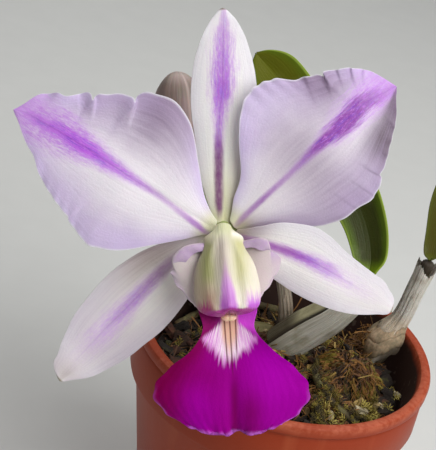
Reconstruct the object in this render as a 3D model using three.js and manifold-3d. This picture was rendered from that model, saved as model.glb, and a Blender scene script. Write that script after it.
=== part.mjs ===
// A flowering Cattleya walkeriana orchid in its clay-coloured pot. Millimetres, +Z up.
// The origin is the middle of the pot's flat base, and the open bloom faces -Y.
import * as THREE from "three";
import { mergeVertices } from "three/addons/utils/BufferGeometryUtils.js";
import Module from "manifold-3d";

const wasm = await Module();
wasm.setup();

// ---- Driving dimensions ----

const gap = 0.3; // between pieces that touch
const degree = Math.PI / 180;

const pot = {
  height: 80,
  baseRadius: 29,
  neckRadius: 41.9, // of the body, just under the rim band
  bandHeight: 17.3,
  bandRadius: 44.2,
  lipRadius: 45,
  lipHeight: 3.4,
  mouthRadius: 41.1, // inside, at the top
  floor: 4,
  drainHoles: 6,
  drainRadius: 1.8,
  drainCircle: 19,
  segments: 40,
};

const mix = {
  level: 65, // of the bark at the pot's wall
  moundHeight: 6.5,
  moundCentre: [12, 6],
  moundRadius: 17,
  roughness: 1.1,
  rings: 7,
  segments: 28,
  barkChips: 22,
  seed: 11,
};

const bloom = {
  centre: [-26, -37, 129.3],
  tilt: 28.1 * degree, // how far it looks up
  lean: 14.4 * degree, // how far its top leans to the left
  petalThickness: 0.8,
  sepalThickness: 0.9,
  lipThickness: 0.8,
};

const rhizomeTrunk = [
  [-21, 18, 65.5],
  [-13, 21, 65.5],
  [-2, 22, 65.5],
  [2, 16, 65.5],
  [8, 12, 65.2],
  [19, 13, 64.6],
  [29.5, 17, 65],
];
const rhizomeBranch = [
  [2, 16, 65.5],
  [-4, 7, 65.5],
  [-11, -4, 66],
];

// Each pseudobulb: its line from the rhizome up to the foot of its leaf, its girth, and its dry sheath.
const bulbs = {
  front: {
    line: [[-1.2, 11, 69.8], [5.5, 10, 78.6], [11.3, 9, 86.4], [15.7, 8.6, 94], [19, 8.6, 101.2]],
    radii: [4.2, 5.2, 5.0, 4.3, 3.4, 2.4],
    sheath: { from: 80, to: 300, foot: 0.06, reach: 0.9, side: [0, 0, 1] },
  },
  right: {
    line: [[29.6, 17.4, 67.6], [30.3, 17.6, 75.5], [32, 17.8, 81.5], [33.7, 18, 87.5], [34.7, 18, 96.1], [36, 18, 107]],
    radii: [1.9, 3.9, 3.6, 2.1, 1.8, 1.75, 1.7],
    sheath: { from: 12, to: 348, foot: 0.33, reach: 0.97, side: [0, 1, 0] },
    collar: { from: 30, to: 200 },
  },
  middle: {
    line: [[0.5, 21.8, 69.1], [-0.6, 22.6, 76.2], [-3.6, 24, 83.8], [-6.5, 25, 90], [-8.8, 26, 95]],
    radii: [1.5, 1.6, 1.3, 1.2, 1.15, 1.1],
    sheath: { from: 15, to: 345, foot: 0.1, reach: 0.88, side: [0, 1, 0] },
  },
  back: {
    line: [[-19.5, 19, 68.4], [-21.5, 21.5, 78.5], [-24.5, 25, 88], [-28.5, 29.5, 97]],
    radii: [3.6, 4.7, 5.0, 4.4, 3.4, 2.4],
    sheath: { from: 20, to: 340, foot: 0.1, reach: 0.72, side: [0, 1, 0] },
  },
};

const sheathThickness = 0.62;

// Each leaf: its midrib, the way its width runs, its widest half and how deep its channel is.
const leaves = {
  front: {
    midrib: [[19.1, 8.6, 102.1], [18.5, 12.3, 106.2], [14.7, 18.1, 113.6], [7.1, 24, 121.7], [-2.5, 29, 128.5],
      [-11.7, 34.4, 135.3], [-20.6, 39.7, 142.2], [-29.2, 43.4, 147.1]],
    side: [0.78, 0.1, 0.62],
    halfWidth: 9,
    channel: 2.6,
  },
  right: {
    midrib: [[36.2, 18, 108], [36.9, 18.9, 112.5], [39.1, 23.4, 121.2], [42.1, 26.6, 131.2], [46, 28, 143], [50, 27, 154]],
    side: [0.85, 0.45, -0.3],
    halfWidth: 9,
    channel: 2.6,
  },
  middle: {
    midrib: [[-9, 26.2, 95.4], [-9.5, 30, 101], [-10, 38, 111], [-9, 47, 120], [-6, 56, 126]],
    side: [1, -0.1, 0],
    halfWidth: 9.5,
    channel: 2.8,
  },
  back: {
    midrib: [[-28.6, 29.6, 97.1], [-34, 35.5, 103.5], [-42, 43, 108], [-50, 50, 108], [-57, 56, 103]],
    side: [0.7, 0.7, -0.15],
    halfWidth: 9.5,
    channel: 2.8,
  },
};

const leafThickness = 1.9;
// Half the width at each tenth of the leaf's length, as a share of its widest half.
const leafOutline = [0.22, 0.58, 0.64, 0.7, 0.85, 0.97, 1, 0.96, 0.85, 0.64, 0.2];

// Each sepal and petal lies in the bloom's own frame: x to its right, y up, z out to the front.
// left and right are half-widths at each tenth of the length, either side of the midrib.
// lift is the midrib's height, cup raises the left and right margins and hinge does so at the base.
// Each notch in a margin is its place along the length, its side and its depth.
const tepals = {
  dorsal_sepal: {
    base: [0, 1.5], angle: 90.3, length: 55.8, thickness: bloom.sepalThickness,
    left: [2.4, 4.2, 5.8, 6.8, 7.4, 8.2, 8.5, 8.1, 6.6, 4.1, 0.7],
    right: [2.4, 4.4, 6.2, 7.3, 8.1, 8.7, 8.9, 8.4, 6.9, 4.7, 0.7],
    lift: [-1.4, -2.6, -3.2, -2.6, -1.0], cup: [-1.2, -1.2], hinge: [0, 0],
    ruffle: [0, 0], waves: 0, notches: [], columns: 6, rows: 12,
  },
  lateral_sepal_left: {
    base: [-2.5, -1.1], angle: -136.5, length: 55.4, thickness: bloom.sepalThickness,
    left: [2.0, 3.7, 6.1, 7.5, 8.5, 8.9, 8.4, 7.9, 6.4, 4.2, 0.7],
    right: [2.0, 4.6, 7.6, 9.8, 11.0, 11.5, 11.0, 9.7, 8.1, 6.0, 0.9],
    lift: [-1.4, -3.2, -4.4, -4.8, -4.4], cup: [-1.6, -0.6], hinge: [0, 0],
    ruffle: [0, 0], waves: 0, notches: [], columns: 6, rows: 12,
  },
  lateral_sepal_right: {
    base: [2.5, -1.3], angle: -25.8, length: 45.7, thickness: bloom.sepalThickness,
    left: [1.8, 4.6, 8.0, 9.9, 11.0, 10.4, 8.9, 7.8, 6.9, 5.9, 1.9],
    right: [2.0, 3.5, 5.1, 5.7, 6.4, 6.8, 6.7, 6.2, 5.1, 3.1, 0.5],
    lift: [-1.2, 0.4, 0.6, -1.3, -4.2], cup: [0.8, -1.2], hinge: [1.5, 0],
    ruffle: [0, 0], waves: 0, notches: [], columns: 6, rows: 12,
  },
  petal_left: {
    base: [-2.4, 0.4], angle: 149.4, length: 60.3, thickness: bloom.petalThickness,
    left: [1.9, 7.0, 12.3, 17.3, 19.7, 18.9, 16.1, 13.3, 9.7, 4.9, 0.5],
    right: [1.9, 5.5, 12.3, 19.3, 22.7, 22.3, 18.7, 15.2, 12.1, 8.3, 0.5],
    lift: [-0.2, 2.2, 3.2, 2.4, 0.2], cup: [-1.8, -1.4], hinge: [0, 0],
    ruffle: [0.5, 1.3], waves: 5.3, notches: [[0.55, -1, 1.2], [0.71, -1, 0.8]], columns: 10, rows: 22,
  },
  petal_right: {
    base: [2.5, 0.9], angle: 40.6, length: 55.3, thickness: bloom.petalThickness,
    left: [1.9, 6.5, 11.2, 17.4, 22.4, 23.8, 21.7, 17.5, 14.7, 10.9, 1.2],
    right: [1.9, 4.6, 9.2, 14.2, 16.9, 17.5, 17.1, 14.5, 10.5, 6.3, 0.5],
    lift: [-0.2, 1.8, 2.6, 1.8, -0.4], cup: [-1.0, -5.0], hinge: [0, -1.9],
    ruffle: [1.2, 0.9], waves: 5.7, notches: [[0.73, 1, 0.9], [0.88, 1, 0.8]], columns: 10, rows: 22,
  },
};

// The lip runs down from the column's foot: a trough round the column, a neck, and a broad fan.
const lip = {
  x: [0.1, 0.2, 0.4, 0.6, 0.9, 1.2, 2.1, 2.1, 1.9, 2.1, 2.2],
  y: [-3.9, -7, -11, -15.5, -20, -25, -30.5, -36.5, -42.5, -48.3, -51.9],
  z: [0.3, 1.9, 3.1, 4.2, 5.4, 7.4, 9.6, 11.2, 11.6, 10.8, 9.2],
  halfArc: [2.2, 4.8, 7.4, 8.6, 8.4, 7.0, 10.6, 17.2, 20.2, 17.4, 12.4],
  turn: [0.5, 0.95, 1.0, 0.95, 0.85, 0.6, 0.3, -0.16, -0.3, -0.34, -0.3], // angle swept by half the section
  rise: [0, 0, 0, 0, 0, 0, 0.2, 0.6, 1.3, 2.0, 2.6], // of the section's ends above its middle
  rows: 17,
  columns: 10,
  earRoot: { from: 0.06, to: 0.43, across: 0.84 },
  earLeft: [[-4.6, -3.2, 2.6], [-10.7, -4.4, 4.8], [-14.2, -8.9, 5.2], [-12.9, -14.0, 5.2], [-8.3, -19.8, 7.2]],
  earRight: [[4.8, -2.8, 2.6], [10.9, -2.2, 4.8], [14.8, -7.4, 5.2], [13.6, -13.4, 5.2], [9.2, -19.2, 7.4]],
  earBulge: 0.3,
};

const column = {
  line: [[-0.3, 1.2, 1.6], [-0.1, -2.4, 4.2], [0.2, -8, 7.4], [0.7, -14.5, 10.4], [1.2, -19.2, 12.2], [1.4, -21.4, 12.9]],
  halfWidth: [2.1, 2.8, 5.2, 7.4, 8.3, 8.3, 7.2, 4.8],
  halfDepth: [1.8, 1.9, 2.2, 2.6, 2.9, 3.0, 2.8, 2.0],
  notch: { at: [2.8, -22.6, 12.6], size: [1.1, 1.9, 4] },
  cap: { at: [2.6, -22.2, 10.2], size: [2.2, 1.3, 1.5] },
  rings: 12,
  sides: 16,
};

const flowerStem = {
  line: [[-11, -4, 69.4], [-12.5, -6, 84], [-17, -9.5, 99], [-22, -16, 112], [-25.6, -26, 121.8], [-26, -33.2, 126.6]],
  radii: [2.4, 2.1, 2.0, 2.3, 2.8, 3.0],
  budLine: [[-17, -9.5, 99], [-25, -3, 104], [-34, 5, 107], [-40.6, 11, 110.6]],
  budRadii: [2.0, 1.7, 1.8, 2.4],
};

const bud = {
  foot: [-41.3, 12, 112.2],
  tip: [-50.6, 28, 141.6],
  radii: [2.6, 5.2, 7.0, 7.6, 7.5, 6.9, 5.6, 2.6],
  sepalStep: 1.1, // how far one margin stands over the next
  sides: 30,
  rings: 12,
};

// Roots lie on the bark: each a main line and a side branch.
const roots = {
  root_front: {
    main: [[-2, 10, 65.5], [-5, -3, 68.2], [-9, -14, 68.4], [-12, -24, 67.4], [-20, -29, 66]],
    side: [[-9, -14, 68.4], [-2, -21, 68], [4, -29, 66.4]],
    radii: [1.5, 1.4, 1.3, 1.1],
  },
  root_right: {
    main: [[15, 12, 67.6], [11, 1, 70.4], [15, -9, 69.8], [24, -16, 68], [30, -15, 66]],
    side: [[15, -9, 69.8], [13, -18, 68.6], [17, -28, 66.2]],
    radii: [1.2, 1.2, 1.1, 0.9],
  },
  root_back: {
    main: [[-16, 20, 65.5], [-20, 28, 67.6], [-11, 34, 67.8], [1, 35, 66.8], [12, 34, 65.4]],
    side: [[-20, 28, 67.6], [-26.5, 22, 67], [-33, 14, 65.6]],
    radii: [1.5, 1.4, 1.2, 1.0],
  },
};

const colours = {
  pot: 0xa8492c,
  mix: 0x4a3824,
  rhizome: 0x6e7440,
  bulb: 0x8b8f5a,
  sheath: 0xb4b09c,
  leaf: 0x4f6b1c,
  stem: 0x87984e,
  tepal: 0xe6dbe8,
  lip: 0xa1119a,
  column: 0xdfe3c2,
  anther: 0xeeb9a0,
  bud: 0xb9a6a0,
  root: 0xb9b8a2,
};

// ---- Small helpers ----

const vector = ([x, y, z]) => new THREE.Vector3(x, y, z);
const curveThrough = (points) => new THREE.CatmullRomCurve3(points.map(vector), false, "centripetal");
const clamp = (x, low, high) => Math.min(high, Math.max(low, x));

// A smooth function of t, from 0 to 1, through equally spaced values.
function along(values) {
  const last = values.length - 1;
  const at = (i) => values[clamp(i, 0, last)];
  return (t) => {
    const k = clamp(t, 0, 1) * last;
    const i = Math.min(Math.floor(k), last - 1);
    const f = k - i;
    const slopeIn = (at(i + 1) - at(i - 1)) / 2;
    const slopeOut = (at(i + 2) - at(i)) / 2;
    const d = at(i + 1) - at(i);
    return at(i) + f * (slopeIn + f * (3 * d - 2 * slopeIn - slopeOut + f * (slopeIn + slopeOut - 2 * d)));
  };
}

// The same numbers each run, from 0 to 1.
function randomFrom(seed) {
  let state = seed;
  return () => {
    state = (state * 1664525 + 1013904223) % 4294967296;
    return state / 4294967296;
  };
}

function solidOf(geometry) {
  const bare = new THREE.BufferGeometry();
  bare.setAttribute("position", geometry.getAttribute("position"));
  bare.setIndex(geometry.getIndex());
  const merged = mergeVertices(bare, 1e-4);
  return new wasm.Manifold(
    new wasm.Mesh({
      numProp: 3,
      vertProperties: new Float32Array(merged.attributes.position.array),
      triVerts: new Uint32Array(merged.index.array),
    }),
  );
}

function geometryOf(solid) {
  const body = solid.decompose().sort((a, b) => b.volume() - a.volume())[0]; // loose scraps are dropped
  const mesh = body.getMesh();
  const geometry = new THREE.BufferGeometry();
  geometry.setAttribute("position", new THREE.BufferAttribute(new Float32Array(mesh.vertProperties), 3));
  geometry.setIndex(new THREE.BufferAttribute(new Uint32Array(mesh.triVerts), 1));
  return geometry;
}

const joined = (geometries) => geometries.map(solidOf).reduce((a, b) => a.add(b));
const carved = (geometry, cutters) => geometryOf(cutters.reduce((a, b) => a.subtract(b), solidOf(geometry)));

function closedGeometry(positions, indices) {
  const geometry = new THREE.BufferGeometry();
  geometry.setAttribute("position", new THREE.Float32BufferAttribute(positions, 3));
  geometry.setIndex(indices);
  return geometry;
}

// A thin closed solid on both sides of the surface point(u, v), with u from 0 to 1 and v from -1 to 1.
function sheet(point, thickness, rows, columns) {
  const positions = [];
  const indices = [];
  const step = 1e-3;
  const perFace = (rows + 1) * (columns + 1);
  for (const face of [1, -1])
    for (let i = 0; i <= rows; i++)
      for (let j = 0; j <= columns; j++) {
        const u = i / rows;
        const v = (2 * j) / columns - 1;
        const alongU = point(Math.min(u + step, 1), v).sub(point(Math.max(u - step, 0), v));
        const alongV = point(u, Math.min(v + step, 1)).sub(point(u, Math.max(v - step, -1)));
        const normal = alongU.cross(alongV).normalize();
        const p = point(u, v).addScaledVector(normal, (face * thickness(u, v)) / 2);
        positions.push(p.x, p.y, p.z);
      }
  const top = (i, j) => i * (columns + 1) + j;
  const under = (i, j) => perFace + top(i, j);
  const wall = (ta, tb, ub, ua) => indices.push(ta, tb, ub, ta, ub, ua);
  for (let i = 0; i < rows; i++)
    for (let j = 0; j < columns; j++) {
      indices.push(top(i, j), top(i + 1, j), top(i + 1, j + 1), top(i, j), top(i + 1, j + 1), top(i, j + 1));
      indices.push(under(i, j), under(i + 1, j + 1), under(i + 1, j));
      indices.push(under(i, j), under(i, j + 1), under(i + 1, j + 1));
    }
  for (let i = 0; i < rows; i++) {
    wall(top(i + 1, 0), top(i, 0), under(i, 0), under(i + 1, 0));
    wall(top(i, columns), top(i + 1, columns), under(i + 1, columns), under(i, columns));
  }
  for (let j = 0; j < columns; j++) {
    wall(top(0, j), top(0, j + 1), under(0, j + 1), under(0, j));
    wall(top(rows, j + 1), top(rows, j), under(rows, j), under(rows, j + 1));
  }
  return closedGeometry(positions, indices);
}

// Where a line is, the way it runs, and two directions square to it, the first as near to side as can be.
function frameOn(curve, t, side) {
  const point = curve.getPoint(t);
  const run = curve.getTangent(t);
  const across = side.clone().addScaledVector(run, -side.dot(run)).normalize();
  return { point, run, across, out: run.clone().cross(across) };
}

// The same line, longer by grow at both ends.
function lengthened(points, grow) {
  const ends = [[0, 1], [points.length - 1, points.length - 2]];
  const longer = points.map((p) => p);
  for (const [end, next] of ends) {
    const run = vector(points[end]).sub(vector(points[next])).normalize();
    longer[end] = vector(points[end]).addScaledVector(run, grow).toArray();
  }
  return longer;
}

// A closed solid along a line. section(t, angle) gives the offsets across and out of the line.
function loft(points, side, section, sides, rings) {
  const curve = curveThrough(points);
  const hint = vector(side);
  const positions = [];
  const indices = [];
  for (let i = 0; i <= rings; i++) {
    const t = i / rings;
    const { point, across, out } = frameOn(curve, t, hint);
    for (let j = 0; j < sides; j++) {
      const [a, b] = section(t, (j / sides) * 2 * Math.PI);
      const p = point.clone().addScaledVector(across, a).addScaledVector(out, b);
      positions.push(p.x, p.y, p.z);
    }
  }
  const first = curve.getPoint(0);
  const last = curve.getPoint(1);
  positions.push(first.x, first.y, first.z, last.x, last.y, last.z);
  const at = (i, j) => i * sides + (j % sides);
  const foot = (rings + 1) * sides;
  for (let j = 0; j < sides; j++) {
    for (let i = 0; i < rings; i++) {
      indices.push(at(i, j), at(i, j + 1), at(i + 1, j + 1));
      indices.push(at(i, j), at(i + 1, j + 1), at(i + 1, j));
    }
    indices.push(foot, at(0, j + 1), at(0, j));
    indices.push(foot + 1, at(rings, j), at(rings, j + 1));
  }
  return closedGeometry(positions, indices);
}

function rod(points, radii, sides, rings, grow = 0, side = [1, 0.2, 0.1]) {
  const radius = along(radii);
  const section = (t, angle) => [(radius(t) + grow) * Math.cos(angle), (radius(t) + grow) * Math.sin(angle)];
  return loft(lengthened(points, grow), side, section, sides, rings);
}

const group = new THREE.Group();

function place(name, geometry, colour, roughness, parent = group) {
  const material = new THREE.MeshStandardMaterial({ color: colour, roughness, metalness: 0, flatShading: true });
  const mesh = new THREE.Mesh(geometry, material);
  mesh.name = name;
  parent.add(mesh);
  return mesh;
}

// ---- The pot and what fills it ----

const potBandFoot = pot.height - pot.bandHeight;
const potTaper = (pot.neckRadius - pot.baseRadius) / potBandFoot;
const potInside = (z) => pot.mouthRadius - potTaper * (pot.height - z);

function makePot() {
  const round = 1.3; // of the lip's edges
  const outline = [
    [0, 0],
    [pot.baseRadius - 1, 0],
    [pot.baseRadius, 1.2],
    [pot.neckRadius, potBandFoot],
    [pot.bandRadius - 0.4, potBandFoot + 0.9],
    [pot.bandRadius, pot.height - pot.lipHeight - 0.6],
    [pot.lipRadius, pot.height - pot.lipHeight + 0.4],
    [pot.lipRadius, pot.height - round],
    [pot.lipRadius - round, pot.height],
    [pot.mouthRadius + round, pot.height],
    [pot.mouthRadius, pot.height - round],
    [potInside(pot.floor), pot.floor],
    [0, pot.floor],
  ].map(([r, z]) => new THREE.Vector2(r, z));
  const body = new THREE.LatheGeometry(outline, pot.segments).rotateX(Math.PI / 2);
  const holes = [];
  for (let i = 0; i < pot.drainHoles; i++) {
    const angle = (i / pot.drainHoles) * 2 * Math.PI;
    const hole = new THREE.CylinderGeometry(pot.drainRadius, pot.drainRadius, 3 * pot.floor, 12);
    hole.rotateX(Math.PI / 2);
    hole.translate(pot.drainCircle * Math.cos(angle), pot.drainCircle * Math.sin(angle), 0);
    holes.push(solidOf(hole));
  }
  place("pot", carved(body, holes), colours.pot, 0.6);
}

// The top of the bark: level at the wall, a mound under the plant, and a few waves of roughness.
function mixHeight(x, y) {
  const [mx, my] = mix.moundCentre;
  const mound = mix.moundHeight * Math.exp(-((x - mx) ** 2 + (y - my) ** 2) / (2 * mix.moundRadius ** 2));
  const rough = Math.sin(x * 0.71 + 1.3) * Math.cos(y * 0.63) + 0.6 * Math.sin(x * 1.7 - y * 1.3);
  return mix.level + mound * 0.6 + mix.roughness * rough;
}

function makeMix(cutters) {
  const random = randomFrom(mix.seed);
  const positions = [];
  const indices = [];
  const bottom = pot.floor + gap;
  const edgeRadius = potInside(mix.level) - gap - 0.4;
  positions.push(0, 0, mixHeight(0, 0));
  for (let i = 1; i <= mix.rings; i++)
    for (let j = 0; j < mix.segments; j++) {
      const angle = (j / mix.segments) * 2 * Math.PI;
      const r = (edgeRadius * i) / mix.rings;
      const x = r * Math.cos(angle);
      const y = r * Math.sin(angle);
      positions.push(x, y, i === mix.rings ? mix.level : mixHeight(x, y));
    }
  for (let j = 0; j < mix.segments; j++) {
    const angle = (j / mix.segments) * 2 * Math.PI;
    const r = potInside(bottom) - gap - 0.1;
    positions.push(r * Math.cos(angle), r * Math.sin(angle), bottom);
  }
  positions.push(0, 0, bottom);
  const ring = (i, j) => 1 + (i - 1) * mix.segments + (j % mix.segments);
  const centre = 1 + (mix.rings + 1) * mix.segments;
  for (let j = 0; j < mix.segments; j++) {
    indices.push(0, ring(1, j), ring(1, j + 1));
    for (let i = 1; i <= mix.rings; i++) {
      indices.push(ring(i, j), ring(i + 1, j), ring(i + 1, j + 1));
      indices.push(ring(i, j), ring(i + 1, j + 1), ring(i, j + 1));
    }
    indices.push(centre, ring(mix.rings + 1, j + 1), ring(mix.rings + 1, j));
  }
  const chips = [closedGeometry(positions, indices)];
  for (let k = 0; k < mix.barkChips; k++) {
    const angle = k * 2.4; // spreads them evenly, as seeds on a head
    const r = 32 * Math.sqrt((k + 0.5) / mix.barkChips);
    const x = r * Math.cos(angle);
    const y = r * Math.sin(angle);
    const chip = new THREE.BoxGeometry(6 + 4 * random(), 4 + 2 * random(), 2.2 + 1.2 * random());
    chip.rotateX(0.5 * (random() - 0.5));
    chip.rotateY(0.7 * (random() - 0.5));
    chip.rotateZ(Math.PI * random());
    chip.translate(x, y, mixHeight(x, y) + 0.2);
    chips.push(chip);
  }
  const filled = cutters.reduce((a, b) => a.subtract(b), joined(chips));
  place("potting_mix", geometryOf(filled), colours.mix, 0.95);
}

// ---- The plant below the bloom ----

function makeRhizome() {
  const knuckled = along([3.0, 3.5, 3.1, 3.6, 3.1, 3.6, 3.1, 3.5, 2.6]);
  const solid = (grow) => {
    const section = (t, angle) => [(knuckled(t) + grow) * Math.cos(angle), (knuckled(t) + grow) * Math.sin(angle)];
    const trunk = loft(lengthened(rhizomeTrunk, grow), [0, 0, 1], section, 10, 18);
    const branch = rod(rhizomeBranch, [2.9, 2.6, 2.9], 10, 7, grow, [0, 0, 1]);
    return joined([trunk, branch]);
  };
  place("rhizome", geometryOf(solid(0)), colours.rhizome, 0.7);
  return solid(gap);
}

const bulbSection = (radii, grow) => {
  const radius = along(radii);
  return (t, angle) => {
    const ribbed = (radius(t) + grow) * (1 + 0.045 * Math.cos(6 * angle) * Math.sin(Math.PI * t));
    return [ribbed * Math.cos(angle), ribbed * Math.sin(angle)];
  };
};

const sheathRoom = 2; // round a pseudobulb, for its sheath
const sheathedCutters = [];

function makeBulb(name, { line, radii, sheath }, rhizomeCutter) {
  const body = (grow) => loft(lengthened(line, grow), sheath.side, bulbSection(radii, grow), 12, 9);
  place("pseudobulb_" + name, carved(body(0), [rhizomeCutter]), colours.bulb, 0.55);
  sheathedCutters.push(solidOf(body(sheathRoom)));
  return solidOf(body(gap));
}

// A dry ribbed skin round the pseudobulb, open down one side and torn at its top.
function makeSheath(name, { line, radii, sheath }, cutters) {
  const curve = curveThrough(line);
  const radius = along(radii);
  const hint = vector(sheath.side);
  const middle = (sheath.from + sheath.to) / 2;
  const half = (sheath.to - sheath.from) / 2;
  const skin = (u, v) => {
    const tear = sheath.reach * (1 - 0.07 * (1 + Math.sin(5 * v + 1)) * u);
    const t = sheath.foot + (tear - sheath.foot) * u;
    const angle = (middle + half * v) * degree;
    const { point, across, out } = frameOn(curve, t, hint);
    const bulbRadius = radius(t) * (1 + 0.045 * Math.cos(6 * angle) * Math.sin(Math.PI * t));
    const pleat = 0.05 * bulbRadius * (1 + Math.cos(12 * angle));
    const r = bulbRadius + gap + 0.1 + sheathThickness / 2 + pleat + 0.5 * u * u;
    return point.addScaledVector(across, r * Math.cos(angle)).addScaledVector(out, r * Math.sin(angle));
  };
  const geometry = sheet(skin, () => sheathThickness, 5, 18);
  place("sheath_" + name, carved(geometry, cutters), colours.sheath, 0.8);
}

// A short pleated cup round the foot of a pseudobulb.
function makeCollar(name, { line, radii, sheath, collar }, cutters) {
  const curve = curveThrough(line);
  const radius = along(radii);
  const hint = vector(sheath.side);
  const skin = (u, v) => {
    const t = 0.02 + 0.36 * u * (1 - 0.25 * Math.cos(2.5 * v + 0.6));
    const angle = (collar.from + ((collar.to - collar.from) * (v + 1)) / 2) * degree;
    const { point, across, out } = frameOn(curve, t, hint);
    const r = radius(t) * 1.045 + 1.3 + 0.25 * Math.cos(9 * angle) + 1.6 * u * u;
    return point.addScaledVector(across, r * Math.cos(angle)).addScaledVector(out, r * Math.sin(angle));
  };
  const geometry = sheet(skin, () => sheathThickness, 4, 18);
  place("collar_" + name, carved(geometry, cutters), colours.sheath, 0.8);
}

function makeLeaf(name, { midrib, side, halfWidth, channel }, cutters) {
  const curve = curveThrough(midrib);
  const hint = vector(side);
  const outline = along(leafOutline);
  const blade = (u, v) => {
    const { point, across, out } = frameOn(curve, u, hint);
    const width = outline(u) * halfWidth;
    const fold = channel * (outline(u) * (Math.abs(v) ** 1.4) + 0.5 * (1 - u) ** 3 * Math.abs(v));
    return point.addScaledVector(across, v * width).addScaledVector(out, -fold);
  };
  const thick = (u, v) => leafThickness * (1 - 0.45 * v * v) * (1 - 0.3 * u);
  place("leaf_" + name, carved(sheet(blade, thick, 12, 6), cutters), colours.leaf, 0.35);
}

function makeRoot(name, { main, side, radii }, cutters) {
  const whole = joined([rod(main, radii, 7, 11), rod(side, radii.slice(1), 7, 6)]);
  place(name, geometryOf(cutters.reduce((a, b) => a.subtract(b), whole)), colours.root, 0.75);
  return joined([rod(main, radii, 7, 11, gap), rod(side, radii.slice(1), 7, 6, gap)]);
}

// ---- The flower stem, the bud and the bloom ----

const bloomFrame = new THREE.Group();
bloomFrame.position.copy(vector(bloom.centre));
bloomFrame.rotation.set(Math.PI / 2 - bloom.tilt, 0, bloom.lean);

// The stem ends in a flat disc, on which the bloom's pieces are set.
function makeFlowerStem(rhizomeCutter) {
  const { line, radii, budLine, budRadii } = flowerStem;
  const disc = new THREE.CylinderGeometry(4.2, 3.0, 2.4, 14).rotateX(Math.PI / 2).translate(0, 0, -4.1);
  bloomFrame.updateMatrixWorld(true);
  disc.applyMatrix4(bloomFrame.matrixWorld);
  const body = joined([rod(line, radii, 9, 18), rod(budLine, budRadii, 8, 8), disc]);
  place("flower_stem", geometryOf(body.subtract(rhizomeCutter)), colours.stem, 0.5);
  return solidOf(rod(line, radii, 9, 18, gap));
}

// An opening bud: three sepals round it, each with one margin standing over the next, and their tips apart.
function makeBud() {
  const middle = bud.foot.map((c, i) => (c + bud.tip[i]) / 2);
  const radius = along(bud.radii);
  const section = (t, angle) => {
    const share = ((angle / (2 * Math.PI)) * 3 + 0.5) % 1; // from one margin to the next
    const step = bud.sepalStep * share * Math.sin(Math.PI * Math.min(t * 1.1, 1));
    const apart = 1 - 0.3 * t ** 4 * (0.5 + 0.5 * Math.cos(2 * Math.PI * share));
    const r = (radius(t) - 0.4 + step) * apart;
    return [r * Math.cos(angle), r * Math.sin(angle)];
  };
  const shape = loft([bud.foot, middle, bud.tip], [1, 0, 0], section, bud.sides, bud.rings);
  place("opening_bud", shape, colours.bud, 0.5);
}

function tepalSurface({ base, angle, length, left, right, lift, cup, hinge, ruffle, waves, notches }) {
  const halfWidths = [along(left), along(right)];
  const height = along(lift);
  const run = new THREE.Vector2(Math.cos(angle * degree), Math.sin(angle * degree));
  return (u, v) => {
    const side = v > 0 ? 0 : 1;
    const share = Math.abs(v);
    let width = halfWidths[side](u);
    for (const [at, sign, depth] of notches)
      if (sign * v > 0) width -= depth * share * Math.exp(-(((u - at) / 0.022) ** 2));
    const across = width * v;
    const x = base[0] + run.x * length * u - run.y * across;
    const y = base[1] + run.y * length * u + run.x * across;
    const belly = Math.sin(Math.PI * Math.min(1, u * 1.15)) ** 0.8;
    const margin = cup[side] * share * share * belly + hinge[side] * share * (1 - u) ** 4;
    const grown = clamp((u - 0.25) * 4, 0, 1) * clamp((1 - u) * 8, 0, 1);
    const pleat = ruffle[side] * share ** 4 * grown * Math.sin(2 * Math.PI * (waves * u + 0.3 * Math.sin(7 * u)) + v);
    return new THREE.Vector3(x, y, height(u) + margin + pleat);
  };
}

function makeTepal(name, tepal) {
  const surface = tepalSurface(tepal);
  const thick = () => tepal.thickness;
  place(name, sheet(surface, thick, tepal.rows, tepal.columns), colours.tepal, 0.5, bloomFrame);
}

function lipSurface() {
  const [x, y, z, halfArc, turn, rise] = [lip.x, lip.y, lip.z, lip.halfArc, lip.turn, lip.rise].map(along);
  return (u, v) => {
    const swept = turn(u) * v;
    const radius = halfArc(u) / (Math.abs(turn(u)) < 1e-3 ? 1e-3 : turn(u));
    const across = radius * Math.sin(swept);
    const fan = clamp((u - 0.6) / 0.4, 0, 1);
    const groove = -1.1 * fan * Math.exp(-((across / 2.2) ** 2));
    const frill = 0.6 * fan * Math.abs(v) ** 4 * Math.sin(26 * u);
    const notch = 1.3 * Math.exp(-((across / 2.2) ** 2)) * clamp((u - 0.85) / 0.15, 0, 1);
    const height = z(u) + radius * (1 - Math.cos(swept)) + groove + frill;
    return new THREE.Vector3(x(u) + across, y(u) + rise(u) * v * v + notch, height);
  };
}

function makeLip() {
  const surface = lipSurface();
  const thick = () => bloom.lipThickness;
  const ear = (rim, sign) => {
    const rimCurve = curveThrough(rim);
    const { from, to, across } = lip.earRoot;
    const flap = (u, v) => {
      const root = surface(from + (to - from) * u, sign * across);
      const share = (v + 1) / 2;
      const wave = 0.7 * share ** 2 * Math.sin(9 * u);
      const out = rimCurve.getPoint(u);
      root.lerp(out, share);
      root.z += lip.earBulge * Math.sin(Math.PI * share) + wave;
      return root;
    };
    return sheet(flap, thick, 8, 4);
  };
  const trough = sheet(surface, thick, lip.rows, lip.columns);
  const whole = joined([trough, ear(lip.earLeft, -1), ear(lip.earRight, 1)]);
  place("lip", geometryOf(whole), colours.lip, 0.45, bloomFrame);
}

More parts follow.
